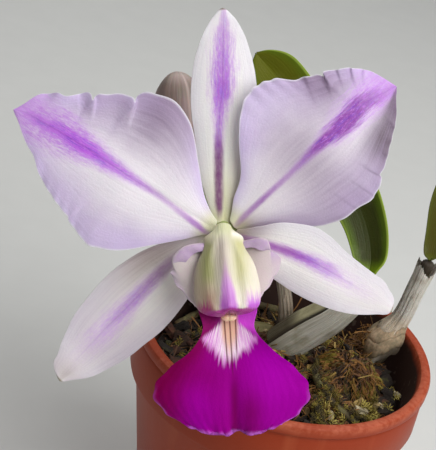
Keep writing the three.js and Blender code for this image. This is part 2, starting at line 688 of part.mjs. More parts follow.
function makeColumn() {
  const halfWidth = along(column.halfWidth);
  const halfDepth = along(column.halfDepth);
  const section = (t, angle) => {
    const ridge = 1 + 0.12 * Math.exp(-((Math.cos(angle) / 0.35) ** 2)) * t;
    return [halfWidth(t) * Math.cos(angle), halfDepth(t) * Math.sin(angle) * ridge];
  };
  const body = loft(column.line, [1, 0, 0], section, column.sides, column.rings);
  const ball = ({ at, size }, grow) => {
    const shape = new THREE.SphereGeometry(1, 10, 7);
    return shape.scale(...size.map((x) => x + grow)).translate(...at);
  };
  const cutters = [ball(column.notch, 0), ball(column.cap, gap)].map(solidOf);
  place("column", carved(body, cutters), colours.column, 0.45, bloomFrame);
  place("anther_cap", ball(column.cap, 0), colours.anther, 0.5, bloomFrame);
}

// ---- Putting it together ----

makePot();
const rhizomeCutter = makeRhizome();
const bulbCutters = Object.entries(bulbs).map(([name, bulb]) => makeBulb(name, bulb, rhizomeCutter));
const rootCutters = Object.entries(roots).map(([name, root]) => makeRoot(name, root, [rhizomeCutter, ...bulbCutters]));
for (const [name, bulb] of Object.entries(bulbs)) makeSheath(name, bulb, [rhizomeCutter, ...rootCutters]);
makeCollar("right", bulbs.right, [rhizomeCutter, ...rootCutters]);
for (const [name, leaf] of Object.entries(leaves)) makeLeaf(name, leaf, bulbCutters);
const stemCutter = makeFlowerStem(rhizomeCutter);
makeMix([rhizomeCutter, stemCutter, ...sheathedCutters, ...rootCutters]);
makeBud();
for (const [name, tepal] of Object.entries(tepals)) makeTepal(name, tepal);
makeLip();
makeColumn();
group.add(bloomFrame);

export default group;
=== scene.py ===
import math

import bpy
import numpy as np
from mathutils import Matrix, Vector


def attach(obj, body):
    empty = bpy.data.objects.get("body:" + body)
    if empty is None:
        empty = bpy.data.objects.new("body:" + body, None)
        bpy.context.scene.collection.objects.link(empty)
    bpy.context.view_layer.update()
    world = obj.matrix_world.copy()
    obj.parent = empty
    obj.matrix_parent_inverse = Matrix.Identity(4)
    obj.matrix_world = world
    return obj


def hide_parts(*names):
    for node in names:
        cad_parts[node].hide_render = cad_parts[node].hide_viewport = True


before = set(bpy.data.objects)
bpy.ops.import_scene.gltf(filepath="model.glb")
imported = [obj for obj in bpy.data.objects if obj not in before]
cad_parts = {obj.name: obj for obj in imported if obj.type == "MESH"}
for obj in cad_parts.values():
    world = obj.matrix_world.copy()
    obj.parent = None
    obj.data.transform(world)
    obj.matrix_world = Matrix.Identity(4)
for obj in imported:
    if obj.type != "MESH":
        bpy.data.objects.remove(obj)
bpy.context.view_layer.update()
bpy.ops.object.select_all(action="DESELECT")

mm = 0.001  # the plant is worked out in millimetres and placed in metres
random = np.random.RandomState(7)
lattice = np.random.RandomState(3).rand(32, 32, 32) * 2 - 1


# Numbers and lines that the shapes are worked out from

def ease(x, low, high):
    s = np.clip((x - low) / (high - low), 0, 1)
    return s * s * (3 - 2 * s)


def hill(x, middle, width):
    return np.exp(-(((x - middle) / width) ** 2))


def unit(rows):
    return rows / np.maximum(np.linalg.norm(rows, axis=1), 1e-9)[:, None]


def stack(*columns):
    return np.stack(np.broadcast_arrays(*columns), axis=1).astype(float)


def lumps(points, size):
    # smooth random values from -1 to 1 in space, with lumps of this size
    at = np.asarray(points, float) / size
    cell = np.floor(at).astype(int)
    part = at - cell
    part = part * part * (3 - 2 * part)
    total = np.zeros(len(at))
    for corner in range(8):
        step = np.array([corner & 1, corner >> 1 & 1, corner >> 2])
        weight = np.prod(np.where(step, part, 1 - part), axis=1)
        where = (cell + step) % 32
        total += weight * lattice[where[:, 0], where[:, 1], where[:, 2]]
    return total


def between(here, there, slopeIn, slopeOut, f):
    # smoothly from one value to the next, leaving and reaching them with these slopes
    d = there - here
    bend = 3 * d - 2 * slopeIn - slopeOut + f * (slopeIn + slopeOut - 2 * d)
    return here + f * (slopeIn + f * bend)


def along(values):
    # a smooth function of t, from 0 to 1, through equally spaced values
    values = np.array(values, float)
    last = len(values) - 1

    def at(t):
        place = np.clip(t, 0, 1) * last
        i = np.minimum(place.astype(int), last - 1)
        f = place - i
        before, here, there, after = (values[np.clip(i + k, 0, last)] for k in (-1, 0, 1, 2))
        return between(here, there, (there - before) / 2, (after - here) / 2, f)

    return at


def curveThrough(points):
    # a smooth line through the points, bending evenly whatever their spacing
    knots = np.array(points, float)
    padded = np.vstack([2 * knots[0] - knots[1], knots, 2 * knots[-1] - knots[-2]])
    spans = np.sqrt(np.linalg.norm(np.diff(padded, axis=0), axis=1))

    def at(t):
        place = np.clip(t, 0, 1) * (len(knots) - 1)
        i = np.minimum(place.astype(int), len(knots) - 2)
        f = (place - i)[:, None]
        p0, p1, p2, p3 = (padded[i + k] for k in range(4))
        d0, d1, d2 = (spans[i + k][:, None] for k in range(3))
        slopeIn = ((p1 - p0) / d0 - (p2 - p0) / (d0 + d1) + (p2 - p1) / d1) * d1
        slopeOut = ((p2 - p1) / d1 - (p3 - p1) / (d1 + d2) + (p3 - p2) / d2) * d1
        return between(p1, p2, slopeIn, slopeOut, f)

    return at


def beside(curve, t, side, aside, out):
    # places near a line: so far aside, in the direction of side, and so far out, square to that
    step = 1e-4
    run = unit(curve(np.minimum(t + step, 1)) - curve(np.maximum(t - step, 0)))
    side = np.array(side, float)
    across = unit(side - run * (run @ side)[:, None])
    return curve(t) + across * aside[:, None] + np.cross(run, across) * out[:, None]


def lengthOf(points):
    return float(np.linalg.norm(np.diff(np.array(points, float), axis=0), axis=1).sum())


# Modelling: a grid primitive is rolled or bent to its place, closed up, and smoothed

def selectOnly(*pieces):
    bpy.ops.object.select_all(action="DESELECT")
    for piece in pieces:
        piece.select_set(True)
    bpy.context.view_layer.objects.active = pieces[0]


def markPoints(mesh, name, values):
    attribute = mesh.attributes.new(name, "FLOAT_VECTOR", "POINT")
    attribute.data.foreach_set("vector", np.asarray(values, np.float32).ravel())


def shapedGrid(name, rows, columns, place):
    bpy.ops.mesh.primitive_grid_add(x_subdivisions=columns, y_subdivisions=rows, size=2)
    piece = bpy.context.object
    piece.name = name
    mesh = piece.data
    spots = np.empty(len(mesh.vertices) * 3)
    mesh.vertices.foreach_get("co", spots)
    spots = spots.reshape(-1, 3) / 2 + 0.5
    points, marks = place(spots[:, 1], spots[:, 0])
    mesh.vertices.foreach_set("co", (points * mm).ravel())
    for mark, values in marks.items():
        markPoints(mesh, mark, values)
    mesh.update()
    bpy.ops.object.mode_set(mode="EDIT")
    bpy.ops.mesh.select_all(action="SELECT")
    bpy.ops.mesh.remove_doubles(threshold=1e-6)
    bpy.ops.mesh.normals_make_consistent(inside=False)
    bpy.ops.object.mode_set(mode="OBJECT")
    bpy.ops.object.shade_smooth()
    return piece


def rounding(t, start, end):
    # 1 along the middle, falling to 0 at both ends as a rounded tip does
    near = np.clip(1 - t / start, 0, 1)
    far = np.clip(1 - (1 - t) / end, 0, 1)
    return np.sqrt(1 - near**2) * np.sqrt(1 - far**2)


def normalOf(surface, u, v):
    step = 1e-3
    alongU = surface(np.minimum(u + step, 1), v) - surface(np.maximum(u - step, 0), v)
    alongV = surface(u, np.minimum(v + step, 1)) - surface(u, np.maximum(v - step, -1))
    return unit(np.cross(alongU, alongV))


def blade(name, rows, around, surface, thickness, reach, toWorld=lambda points: points, rim=0.7):
    # a closed thin piece on both sides of surface(u, v), with a rounded rim
    def place(rowShare, aroundShare):
        u = (1 - np.cos(np.pi * rowShare)) / 2
        turn = 2 * np.pi * aroundShare
        v, face = np.cos(turn), np.sin(turn)
        lens = np.sign(face) * np.abs(face) ** rim
        middle = surface(u, v)
        points = middle + normalOf(surface, u, v) * (thickness(u, v) * lens / 2)[:, None]
        return toWorld(points), {"spot": stack(u, v, face), "reach": reach(u, v, middle)}

    return shapedGrid(name, rows, around, place)


def tube(name, line, side, section, rows, around, ends=(0.02, 0.02), toWorld=lambda points: points):
    # a closed piece along a line, with offsets aside and out of it from section(t, angle)
    curve = curveThrough(line)
    length = lengthOf(line)

    def place(rowShare, aroundShare):
        t = (1 - np.cos(np.pi * rowShare)) / 2
        angle = 2 * np.pi * aroundShare
        closing = rounding(t, *ends)
        a, b = section(t, angle)
        points = beside(curve, t, side, a * closing, b * closing)
        marks = {"spot": stack(t, np.cos(angle), np.sin(angle)), "reach": stack(t * length, a, b)}
        return toWorld(points), marks

    return shapedGrid(name, rows, around, place)


def roundSection(radii, relief=lambda t, angle: 0 * t):
    radius = along(radii)

    def section(t, angle):
        r = radius(t) + relief(t, angle)
        return r * np.cos(angle), r * np.sin(angle)

    return section


def branches(side, relief, parts):
    # round tubes, each from its line, radii, rows, faces round it and the reach of its rounded ends
    return [tube("branch", line, side, roundSection(radii, relief), rows, around, ends)
            for line, radii, rows, around, ends in parts]


def joinedPieces(name, pieces):
    selectOnly(*pieces)
    bpy.ops.object.join()
    pieces[0].name = name
    return pieces[0]


def scattered(name, models, spots):
    # each spot is (model, 3 by 3 turn and size, place, marks): the model's own mesh is copied there, and
    # the first of its three marks is how pale it is
    points, faces, tones = [], [], []
    count = 0
    for model, turn, place, marks in spots:
        vertices, polygons = models[model]
        points.append(vertices @ turn.T + place)
        faces.extend([tuple(i + count for i in polygon) for polygon in polygons])
        tones.append(np.tile(marks, (len(vertices), 1)))
        count += len(vertices)
    mesh = bpy.data.meshes.new(name)
    mesh.from_pydata(np.concatenate(points) * mm, [], faces)
    markPoints(mesh, "tone", np.concatenate(tones))
    piece = bpy.data.objects.new(name, mesh)
    bpy.context.collection.objects.link(piece)
    selectOnly(piece)
    bpy.ops.object.shade_smooth_by_angle(angle=math.radians(40))
    return piece


def bevel(piece, width, segments, sharpest):
    rounded = piece.modifiers.new("edges", "BEVEL")
    rounded.width = width
    rounded.segments = segments
    rounded.limit_method = "ANGLE"
    rounded.angle_limit = math.radians(sharpest)
    bpy.ops.object.modifier_apply(modifier=rounded.name)


def meshOf(piece):
    # a modelled piece's points in millimetres and its faces, and the piece is removed
    vertices = np.array([vertex.co for vertex in piece.data.vertices]) / mm
    polygons = [tuple(polygon.vertices) for polygon in piece.data.polygons]
    bpy.data.objects.remove(piece)
    return vertices, polygons


def turned(axis, angle):
    return np.array(Matrix.Rotation(angle, 3, axis))


def tumbled(axis, spread):
    # turned any way about the upright, and a little about another axis
    return turned("Z", random.rand() * 6.3) @ turned(axis, random.normal(0, spread))


def settle(piece, finish, nodes, slot):
    piece.data.materials.clear()
    piece.data.materials.append(finish.material)
    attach(piece, "root")
    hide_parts(*nodes)


# Shader maths as expressions

class Tone:
    # a number, colour or direction on its way through a finish's nodes
    def __init__(self, finish, socket):
        self.finish = finish
        self.socket = socket

    def __add__(self, other):
        return self.finish.maths("ADD", self, other)

    def __sub__(self, other):
        return self.finish.maths("SUBTRACT", self, other)

    def __rsub__(self, other):
        return self.finish.maths("SUBTRACT", other, self)

    def __mul__(self, other):
        return self.finish.maths("MULTIPLY", self, other)

    def __truediv__(self, other):
        return self.finish.maths("DIVIDE", self, other)

    def __abs__(self):
        return self.finish.maths("ABSOLUTE", self)

    __radd__ = __add__
    __rmul__ = __mul__

    def step(self, low, high, start=0.0, end=1.0):
        # a soft step from start to end as this goes from low to high
        sockets = {0: self, 1: low, 2: high, 3: start, 4: end}
        return self.finish.node("MapRange", {"interpolation_type": "SMOOTHSTEP"}, sockets)

    def hill(self, width):
        # 1 where this is 0, falling off evenly to both sides
        return self.finish.maths("EXPONENT", self * self * (-1 / width**2))

    def line(self, points, low=0.0, high=1.0):
        # a smooth line through (position, height) points
        stops = [(at, (height - low) / (high - low)) for at, height in points]
        return self.finish.node("ValToRGB", {"stops": stops}, {0: self}) * (high - low) + low

    def shades(self, stops):
        # from one colour to the next, each stop a position with its red, green and blue
        stops = [(at, colour(*rgb)) for at, *rgb in stops]
        return self.finish.node("ValToRGB", {"stops": stops}, {0: self})

    def blend(self, first, second):
        # the first colour where this is 0, the second where it is 1
        return self.finish.mix(self, colour(*first), colour(*second))

    def tinted(self, share, red, green, blue):
        return self.finish.mix(share, self, colour(red, green, blue))


class Finish:
    def __init__(self, name, **sockets):
        self.material = bpy.data.materials.new(name)
        self.material.use_nodes = True
        self.tree = self.material.node_tree
        self.shader = self.tree.nodes["Principled BSDF"]
        for socket, value in sockets.items():
            self.shader.inputs[socket.replace("_", " ")].default_value = value

    def node(self, kind, settings=None, sockets=None, output=0):
        made = self.tree.nodes.new("ShaderNode" + kind)
        for setting, value in (settings or {}).items():
            if setting == "stops":
                self.setStops(made.color_ramp, value)
            else:
                setattr(made, setting, value)
        for socket, value in (sockets or {}).items():
            self.feed(made.inputs[socket], value)
        return Tone(self, made.outputs[output])

    def setStops(self, ramp, stops):
        ramp.interpolation = "CARDINAL" if len(stops) > 3 else "EASE"
        while len(ramp.elements) < len(stops):
            ramp.elements.new(1)
        for element, (position, shade) in zip(ramp.elements, stops):
            element.position = position
            element.color = shade if isinstance(shade, tuple) else (shade, shade, shade, 1)

    def feed(self, socket, value):
        if isinstance(value, Tone):
            self.tree.links.new(value.socket, socket)
        else:
            socket.default_value = value

    def paint(self, **tones):
        for socket, value in tones.items():
            self.feed(self.shader.inputs[socket.replace("_", " ")], value)

    def maths(self, operation, a, b=0.0):
        return self.node("Math", {"operation": operation}, {0: a, 1: b})

    def split(self, vector):
        node = self.node("SeparateXYZ", {}, {0: vector}).socket.node
        return [Tone(self, output) for output in node.outputs]

    def parts(self, name):
        return self.split(self.node("Attribute", {"attribute_name": name}, output="Vector"))

    def place(self):
        return self.node("TexCoord", output="Object")

    def noise(self, place, scale=1.0, detail=3, roughness=0.55):
        # the place is a vector, or its x, y and perhaps z
        if isinstance(place, tuple):
            place = self.node("CombineXYZ", {}, dict(enumerate(place)))
        sockets = {"Vector": place, "Scale": scale, "Detail": detail, "Roughness": roughness}
        return self.node("TexNoise", {}, sockets)

    def grain(self, scale, detail, roughness=0.55):
        return self.noise(self.place(), scale, detail, roughness)

    def drawnOut(self, scale, detail):
        # noise that is longer one way than the others
        place = self.node("Mapping", {}, {"Vector": self.place(), "Scale": scale})
        return self.noise(place, 1.0, detail)

    def mix(self, share, a, b):
        return self.node("Mix", {"data_type": "RGBA"}, {0: share, 6: a, 7: b}, output=2)

    def relief(self, height, distance, strength=1.0, under=None):
        sockets = {"Height": height, "Distance": distance, "Strength": strength}
        if under:
            sockets["Normal"] = under
        return self.node("Bump", {}, sockets)


def colour(red, green, blue):
    # from the 0 to 255 of a paint chart to the light that Blender counts in
    linear = [((c / 255 + 0.055) / 1.055) ** 2.4 if c > 10 else c / 255 / 12.92 for c in (red, green, blue)]
    return (*linear, 1.0)


# The bloom: its own frame has x to its right, y up and z out to the front

bloom = {
    "centre": (-26, -37, 129.3),
    "tilt": 28.1,
    "lean": 14.4,
}
bloomTurn = turned("X", math.radians(90 - bloom["tilt"])) @ turned("Z", math.radians(bloom["lean"]))


def fromBloom(points):
    return points @ bloomTurn.T + np.array(bloom["centre"])


# Purplish grey and brownish shades are partly the tepal's tint, partly painted shade; the darkest ones are
# painted shade.
# left and right are half-widths at each tenth of the length, either side of the midrib; cup, hinge and ruffle
# are pairs for the left and the right, and lift is how far the midrib stands forward along the length.
# A trim is its place along the margin, its side (1 left, -1 right), its width and how far the margin goes out.
# A fold is its place, side and width, how far it stands forward, how far it leans over, and its nick's depth.
# A shade is its place, side, width and share, how far out from the midrib it starts, and its colour.
# A flame's middle, and the half-width and share of its core and of its halo, are points along the tepal.
# Its streak is the colour of the lines in it, and clear is the side that it leaves clear, and how much.
tepals = {
    "dorsal_sepal": {
        "base": (0, 1.5), "angle": 90.3, "length": 56.1,
        "left": [2.4, 4.2, 5.8, 6.8, 7.4, 8.2, 8.5, 8.1, 6.9, 4.6, 0.9],
        "right": [2.4, 4.4, 6.2, 7.3, 8.1, 8.7, 8.9, 8.4, 7.1, 5.0, 0.9],
        "lift": [-1.4, -2.6, -3.2, -2.6, -1.0], "cup": (-1.2, -1.2), "hinge": (0, 0),
        "ruffle": (0.12, 0.1), "waves": 2.3, "frill": 0.03, "folds": [],
        "trims": [(0.955, 1, 0.03, 0.4), (0.955, -1, 0.03, 0.5)],
        "shades": [(0.06, 1, 0.18, 0.5, -0.7, "base"), (0.06, -1, 0.18, 0.5, -0.7, "base"),
                   (0.12, -1, 0.2, 0.35, 0, "duskTintAndShade")],
        "flame": {
            "paint": (164, 56, 196), "foot": (96, 6, 80),
            "middle": [(0, 1.1), (0.1, 1.2), (0.42, 1.2), (0.56, 0.7), (0.64, 0.1), (0.84, 0), (1, -0.3)],
            "core": [(0, 0.4), (0.1, 1.0), (0.3, 1.15), (0.42, 1.0), (0.52, 0.95), (0.58, 1.7), (0.63, 2.1),
                     (0.72, 2.1), (0.9, 1.5), (1, 0.4)],
            "coreShare": [(0, 0), (0.07, 1.0), (0.2, 1.25), (0.36, 1.0), (0.46, 0.5), (0.56, 0.55),
                          (0.62, 0.8), (0.7, 0.5), (0.88, 0.42), (1, 0.4)],
            "halo": [(0, 0.6), (0.35, 1.2), (0.5, 1.9), (0.62, 3.0), (0.8, 2.9), (0.93, 2.1), (1, 0.5)],
            "haloShare": [(0, 0), (0.25, 0.15), (0.42, 0.5), (0.55, 0.85), (0.8, 0.75), (0.9, 0.5),
                          (1, 0.15)],
        },
    },
    "lateral_sepal_left": {
        "base": (-2.5, -1.1), "angle": -136.5, "length": 55.8,
        "left": [2.0, 3.7, 6.1, 7.5, 8.5, 8.9, 8.4, 7.9, 6.4, 4.2, 0.7],
        "right": [2.0, 4.6, 7.6, 9.8, 11.0, 11.5, 11.0, 9.7, 8.1, 6.0, 0.9],
        "lift": [-1.4, -3.2, -4.4, -4.8, -4.4], "cup": (-1.6, -0.6), "hinge": (0, 0),
        "ruffle": (0.12, 0.1), "waves": 2.1, "frill": 0.03, "folds": [],
        "trims": [(0.965, -1, 0.035, 2.0), (0.74, -1, 0.1, 0.8), (0.86, 1, 0.05, 0.2)],
        "shades": [(0.28, -1, 0.22, 0.65, 0.05, "duskTintAndShade"), (0.96, 1, 0.06, 0.25, -0.6, "duskTintAndShade"),
                   (0.96, -1, 0.06, 0.3, -0.6, "duskTintAndShade"), (0.12, 1, 0.12, 0.5, 0.1, "duskTintAndShade"),
                   (0.72, 1, 0.22, 0.42, -0.5, "mauveTintAndShade"), (0.75, -1, 0.2, 0.35, -0.1, "mauveTintAndShade")],
        "flame": {
            "paint": (150, 70, 176), "foot": (134, 70, 126),
            "middle": [(0, -1.5), (0.12, -2.2), (0.26, -2.4), (0.4, -2.2), (0.54, -1.8), (0.7, -1.6),
                       (0.86, -1.0), (1, -0.3)],
            "core": [(0, 0.5), (0.15, 1.2), (0.28, 1.4), (0.42, 1.5), (0.55, 1.5), (0.62, 1.1), (0.75, 0.6),
                     (1, 0.3)],
            "coreShare": [(0, 0), (0.12, 0.3), (0.25, 0.58), (0.38, 0.54), (0.52, 0.38), (0.61, 0.25),
                          (0.7, 0.1), (1, 0)],
            "halo": [(0, 0.5), (0.3, 1.7), (0.5, 2.3), (0.7, 3.2), (0.9, 2.8), (1, 1)],
            "haloShare": [(0, 0), (0.2, 0.15), (0.35, 0.4), (0.5, 0.55), (0.64, 0.5), (0.8, 0.22), (1, 0)],
        },
    },
    "lateral_sepal_right": {
        "base": (2.5, -1.3), "angle": -25.8, "length": 46.0,
        "left": [1.8, 4.6, 8.0, 9.9, 11.0, 10.4, 8.9, 7.8, 6.9, 5.9, 1.9],
        "right": [2.0, 3.5, 5.1, 5.7, 6.4, 6.8, 6.7, 6.2, 5.1, 3.1, 0.5],
        "lift": [-1.2, 0.4, 0.6, -1.3, -4.2], "cup": (0.8, -1.2), "hinge": (1.5, 0),
        "ruffle": (0.12, 0.1), "waves": 1.9, "frill": 0.03, "folds": [],
        "trims": [(0.97, 1, 0.03, 0.8), (0.97, -1, 0.03, 0.5)],
        "shades": [(0.05, 1, 0.1, 0.65, -0.4, "duskTintAndShade"), (0.1, 1, 0.1, 0.3, 0.1, "mauveTintAndShade"),
                   (0.5, 1, 0.5, 0.1, -0.5, "mauveTintAndShade"), (0.45, -1, 0.5, 0.22, -0.3, "mauveTintAndShade"),
                   (0.85, 1, 0.2, 0.12, -0.9, "mauveTintAndShade"), (0.9, 1, 0.12, 0.08, -0.3, "duskTintAndShade"),
                   (0.9, -1, 0.12, 0.08, -0.3, "duskTintAndShade")],
        "flame": {
            "paint": (158, 52, 194), "foot": (156, 76, 166),
            "middle": [(0, 0.6), (0.1, 1.0), (0.22, 1.8), (0.41, 2.6), (0.56, 2.5), (0.66, 2.0), (1, 0.5)],
            "core": [(0, 0.4), (0.1, 0.8), (0.22, 1.05), (0.41, 1.1), (0.52, 1.3), (0.58, 1.4), (0.66, 0.6),
                     (1, 0.2)],
            "coreShare": [(0, 0.3), (0.12, 0.65), (0.24, 0.85), (0.42, 0.82), (0.5, 0.5), (0.58, 0.4),
                          (0.68, 0.1), (1, 0)],
            "halo": [(0, 0.5), (0.25, 1.3), (0.45, 1.9), (0.6, 2.4), (0.8, 2), (1, 1)],
            "haloShare": [(0, 0.1), (0.2, 0.45), (0.36, 0.7), (0.5, 0.6), (0.62, 0.4), (0.75, 0.2), (1, 0)],
        },
    },
    "petal_left": {
        "base": (-2.4, 0.4), "angle": 149.4, "length": 60.4,
        "left": [1.9, 7.0, 12.3, 17.3, 19.7, 18.9, 16.1, 13.3, 9.7, 4.9, 0.5],
        "right": [1.9, 5.5, 12.3, 19.3, 22.7, 22.3, 18.7, 15.2, 12.1, 8.3, 0.5],
        "lift": [-0.2, 2.2, 3.2, 2.4, 0.2], "cup": (-1.8, -1.4), "hinge": (0, 0),
        "ruffle": (0.25, 0.6), "waves": 5.3, "frill": 0.1,
        "folds": [(0.59, -1, 0.05, 2.0, 1.6, 0), (0.735, -1, 0.03, 1.3, 0.8, 0),
                  (0.8, -1, 0.04, 0.3, 0.1, 0), (0.57, 1, 0.03, 0.4, 0.3, 0.3),
                  (0.46, 1, 0.04, 0.2, 0.1, 0)],
        "trims": [(0.585, -1, 0.014, -1.6), (0.545, -1, 0.03, 0.5), (0.64, -1, 0.03, 0.4),
                  (0.735, -1, 0.012, -1.5), (0.83, -1, 0.03, -1.1), (0.765, -1, 0.014, 0.4),
                  (0.945, -1, 0.03, 1.6), (0.82, 1, 0.04, -0.9), (0.44, 1, 0.04, 0.6)],
        "shades": [(0.42, -1, 0.19, 0.8, 0.1, "mauveTintAndShade"), (0.42, -1, 0.17, 0.2, 0.1, "paintedGloomShade"),
                   (0.68, -1, 0.1, 0.38, 0.15, "mauveTintAndShade"), (0.45, 1, 0.2, 0.12, 0.15, "mauveTintAndShade")],
        "flame": {
            "paint": (192, 92, 226), "foot": (158, 90, 182),
            "middle": [(0, 2.0), (0.055, 1.7), (0.245, 0.2), (0.45, -0.4), (0.54, -0.7), (0.62, -1.1),
                       (0.8, -1.1), (0.95, -0.9), (1, -0.2)],
            "core": [(0, 0.5), (0.06, 0.75), (0.27, 0.8), (0.44, 1.1), (0.58, 1.6), (0.7, 1.9), (0.83, 1.5),
                     (1, 1.0)],
            "coreShare": [(0, 0.3), (0.05, 0.85), (0.12, 0.75), (0.2, 0.5), (0.34, 0.55), (0.48, 0.65),
                          (0.66, 1.1), (0.83, 0.75), (0.94, 0.5), (1, 0.3)],
            "halo": [(0, 0.5), (0.3, 0.9), (0.45, 1.8), (0.6, 3.2), (0.7, 4.4), (0.84, 5.2), (0.95, 4.8),
                     (1, 3)],
            "haloShare": [(0, 0), (0.25, 0.2), (0.4, 0.6), (0.58, 0.85), (0.68, 1), (0.88, 1), (0.95, 0.7),
                          (1, 0.6)],
        },
    },
    "petal_right": {
        "base": (2.5, 0.9), "angle": 40.6, "length": 55.6,
        "left": [1.9, 6.5, 11.2, 17.4, 22.4, 23.8, 21.7, 17.5, 14.7, 10.9, 1.2],
        "right": [1.9, 4.6, 9.2, 14.2, 16.9, 17.5, 17.1, 14.5, 10.5, 6.3, 0.5],
        "lift": [-0.2, 1.8, 2.6, 1.8, -0.4], "cup": (-1.0, -5.0), "hinge": (0, -1.9),
        "ruffle": (0.3, 0.25), "waves": 5.7, "frill": 0.14,
        "folds": [(0.79, 1, 0.06, 1.0, 0.7, 0), (0.71, 1, 0.05, 0.4, 0.2, 0), (0.85, 1, 0.03, 0.5, 0.3, 0),
                  (0.9, 1, 0.025, 0.45, 0.3, 0), (0.94, 1, 0.02, 0.35, 0.2, 0),
                  (0.685, -1, 0.03, 0.6, 0.5, 0.5), (0.6, -1, 0.03, 0.3, 0.2, 0.1),
                  (0.5, -1, 0.04, 0.25, 0.1, 0)],
        "trims": [(0.65, 1, 0.025, -1.0), (0.772, 1, 0.012, -1.3), (0.81, 1, 0.025, 0.6),
                  (0.93, 1, 0.03, 0.6), (0.96, 1, 0.03, 2.2), (0.6, -1, 0.07, 0.8), (0.17, 1, 0.07, -1.3)],
        "shades": [(0.74, 1, 0.15, 0.88, 0.05, "mauveTintAndShade"), (0.44, -1, 0.2, 0.15, 0.1, "mauveTintAndShade"),
                   (0.8, -1, 0.16, 0.85, 0, "paintedGloomShade"), (0.95, -1, 0.1, 0.9, -0.1, "paintedGloomShade"),
                   (0.04, -1, 0.08, 0.5, -0.5, "duskTintAndShade"), (0.45, -1, 0.2, 0.6, -0.85, "mauveTintAndShade")],
        "flame": {
            "paint": (130, 16, 148), "foot": (150, 82, 172), "streak": (110, 30, 174), "clear": (-1, 0.9),
            "middle": [(0, 0.1), (0.04, 0.2), (0.43, 1.1), (0.54, 1.6), (0.66, 1.6), (0.77, 2.1),
                       (0.88, 1.7), (1, 0.2)],
            "core": [(0, 0.5), (0.05, 0.7), (0.43, 0.8), (0.54, 1.35), (0.66, 2.3), (0.78, 2.6),
                     (0.88, 2.2), (1, 1.2)],
            "coreShare": [(0, 0.2), (0.05, 0.6), (0.18, 0.9), (0.34, 0.55), (0.43, 0.55), (0.54, 0.95),
                          (0.7, 1.15), (0.82, 0.9), (0.93, 0.6), (1, 0.4)],
            "halo": [(0, 0.5), (0.4, 1.0), (0.54, 1.7), (0.66, 3.2), (0.78, 4.3), (0.9, 5.2), (1, 4)],
            "haloShare": [(0, 0), (0.35, 0.2), (0.5, 0.5), (0.64, 0.8), (0.76, 0.75), (0.88, 0.85),
                          (1, 0.85)],
        },
    },
}


tepalEnds = (0.012, 0.02)  # how far the rounding of the base and of the tip reaches


def tepalSurface(shape):
    leftHalf, rightHalf, lift = along(shape["left"]), along(shape["right"]), along(shape["lift"])
    angle = math.radians(shape["angle"])
    run = np.array([math.cos(angle), math.sin(angle)])

    def width(u, v):
        total = np.where(v > 0, leftHalf(u), rightHalf(u))
        for at, side, wide, out in shape["trims"]:
            total = total + out * hill(u, at, wide) * (side * v > 0)
        return total * rounding(u, *tepalEnds)

    def folded(u, v, at, side, wide):
        # 1 at the fold, falling off slowly towards the tip and at once towards the base
        share = np.abs(v)
        past = (u - at + 0.1 * (1 - share)) / wide
        wave = np.where(past > 0, np.exp(-1.2 * past**2), np.exp(-((past / 0.2) ** 2)))
        return wave * ease(share, 0.42, 1.0) * (side * v > 0)

    def surface(u, v):
        share = np.abs(v)
        either = lambda pair: np.where(v > 0, pair[0], pair[1])
        ends = rounding(u, *tepalEnds)
        grown = ease(u, 0.18, 0.5) * (1 - ease(u, 0.9, 1.0))
        frillWave = np.sin(2 * np.pi * (13 * u + 0.7 * np.sin(9 * u + v)) + 3 * v)
        belly = np.sin(np.pi * np.minimum(1, u * 1.15)).clip(0) ** 0.8
        pleat = np.sin(2 * np.pi * (shape["waves"] * u + 0.3 * np.sin(7 * u)) + v)
        height = lift(u) + either(shape["cup"]) * share**2 * belly
        height = height + either(shape["hinge"]) * share * (1 - u) ** 4 * ends
        height = height + either(shape["ruffle"]) * share**4 * grown * pleat
        height = height + shape["frill"] * share**7 * grown * frillWave
        shift = 0 * u
        nick = 0 * u
        for at, side, wide, stand, lean, depth in shape["folds"]:
            wave = folded(u, v, at, side, wide)
            height = height + stand * wave
            shift = shift - lean * wave * share
            nick = nick + depth * wave * share**4
        frill = 1 + 0.05 * shape["frill"] * share**8 * grown * frillWave
        across = (width(u, v) - nick * ends) * v * frill
        x = shape["base"][0] + run[0] * (shape["length"] * u + shift) - run[1] * across
        y = shape["base"][1] + run[1] * (shape["length"] * u + shift) + run[0] * across
        spots = stack(x, y, height)
        vein = 0.02 * np.cos(2 * np.pi * 9 * v) * np.sin(np.pi * u).clip(0) * (1 - share**6)
        midrib = -0.22 * hill(v * width(u, v), 0, 0.8) * (1 - u)
        spots[:, 2] += vein + midrib + 0.3 * lumps(stack(x, y, 0), 9) * belly
        return spots

    return surface, width


def makeTepal(name, shape):
    kind = name.split("_")[0] if name.startswith("petal") else "sepal"
    thickest, rows, around = {"petal": (0.7, 260, 136), "sepal": (0.9, 120, 96)}[kind]
    surface, width = tepalSurface(shape)
    thickness = lambda u, v: thickest * (1 - 0.45 * v * v) * (1 - 0.25 * u)
    reach = lambda u, v, middle: stack(u * shape["length"], width(u, v) * v, middle[:, 2])
    piece = blade(name + "_blade", rows, around, surface, thickness, reach, fromBloom)
    settle(piece, tepalFinish(name + "_skin", shape, kind == "petal"), [name], kind)


tepalColours = {
    "white": (250, 247, 241),
    "petalWhite": (238, 229, 240),
    "cream": (240, 236, 224),
    "lavender": (206, 182, 230),
    # the next three also serve as painted shade where a tepal turns from the light
    "mauveTintAndShade": (138, 118, 144),
    "duskTintAndShade": (134, 112, 98),
    "paintedGloomShade": (96, 82, 90),
    "base": (216, 216, 168),
    "rim": (250, 246, 250),
    "halo": (202, 150, 226),
    "tip": (112, 104, 60),
    "streak": (134, 66, 212),
}


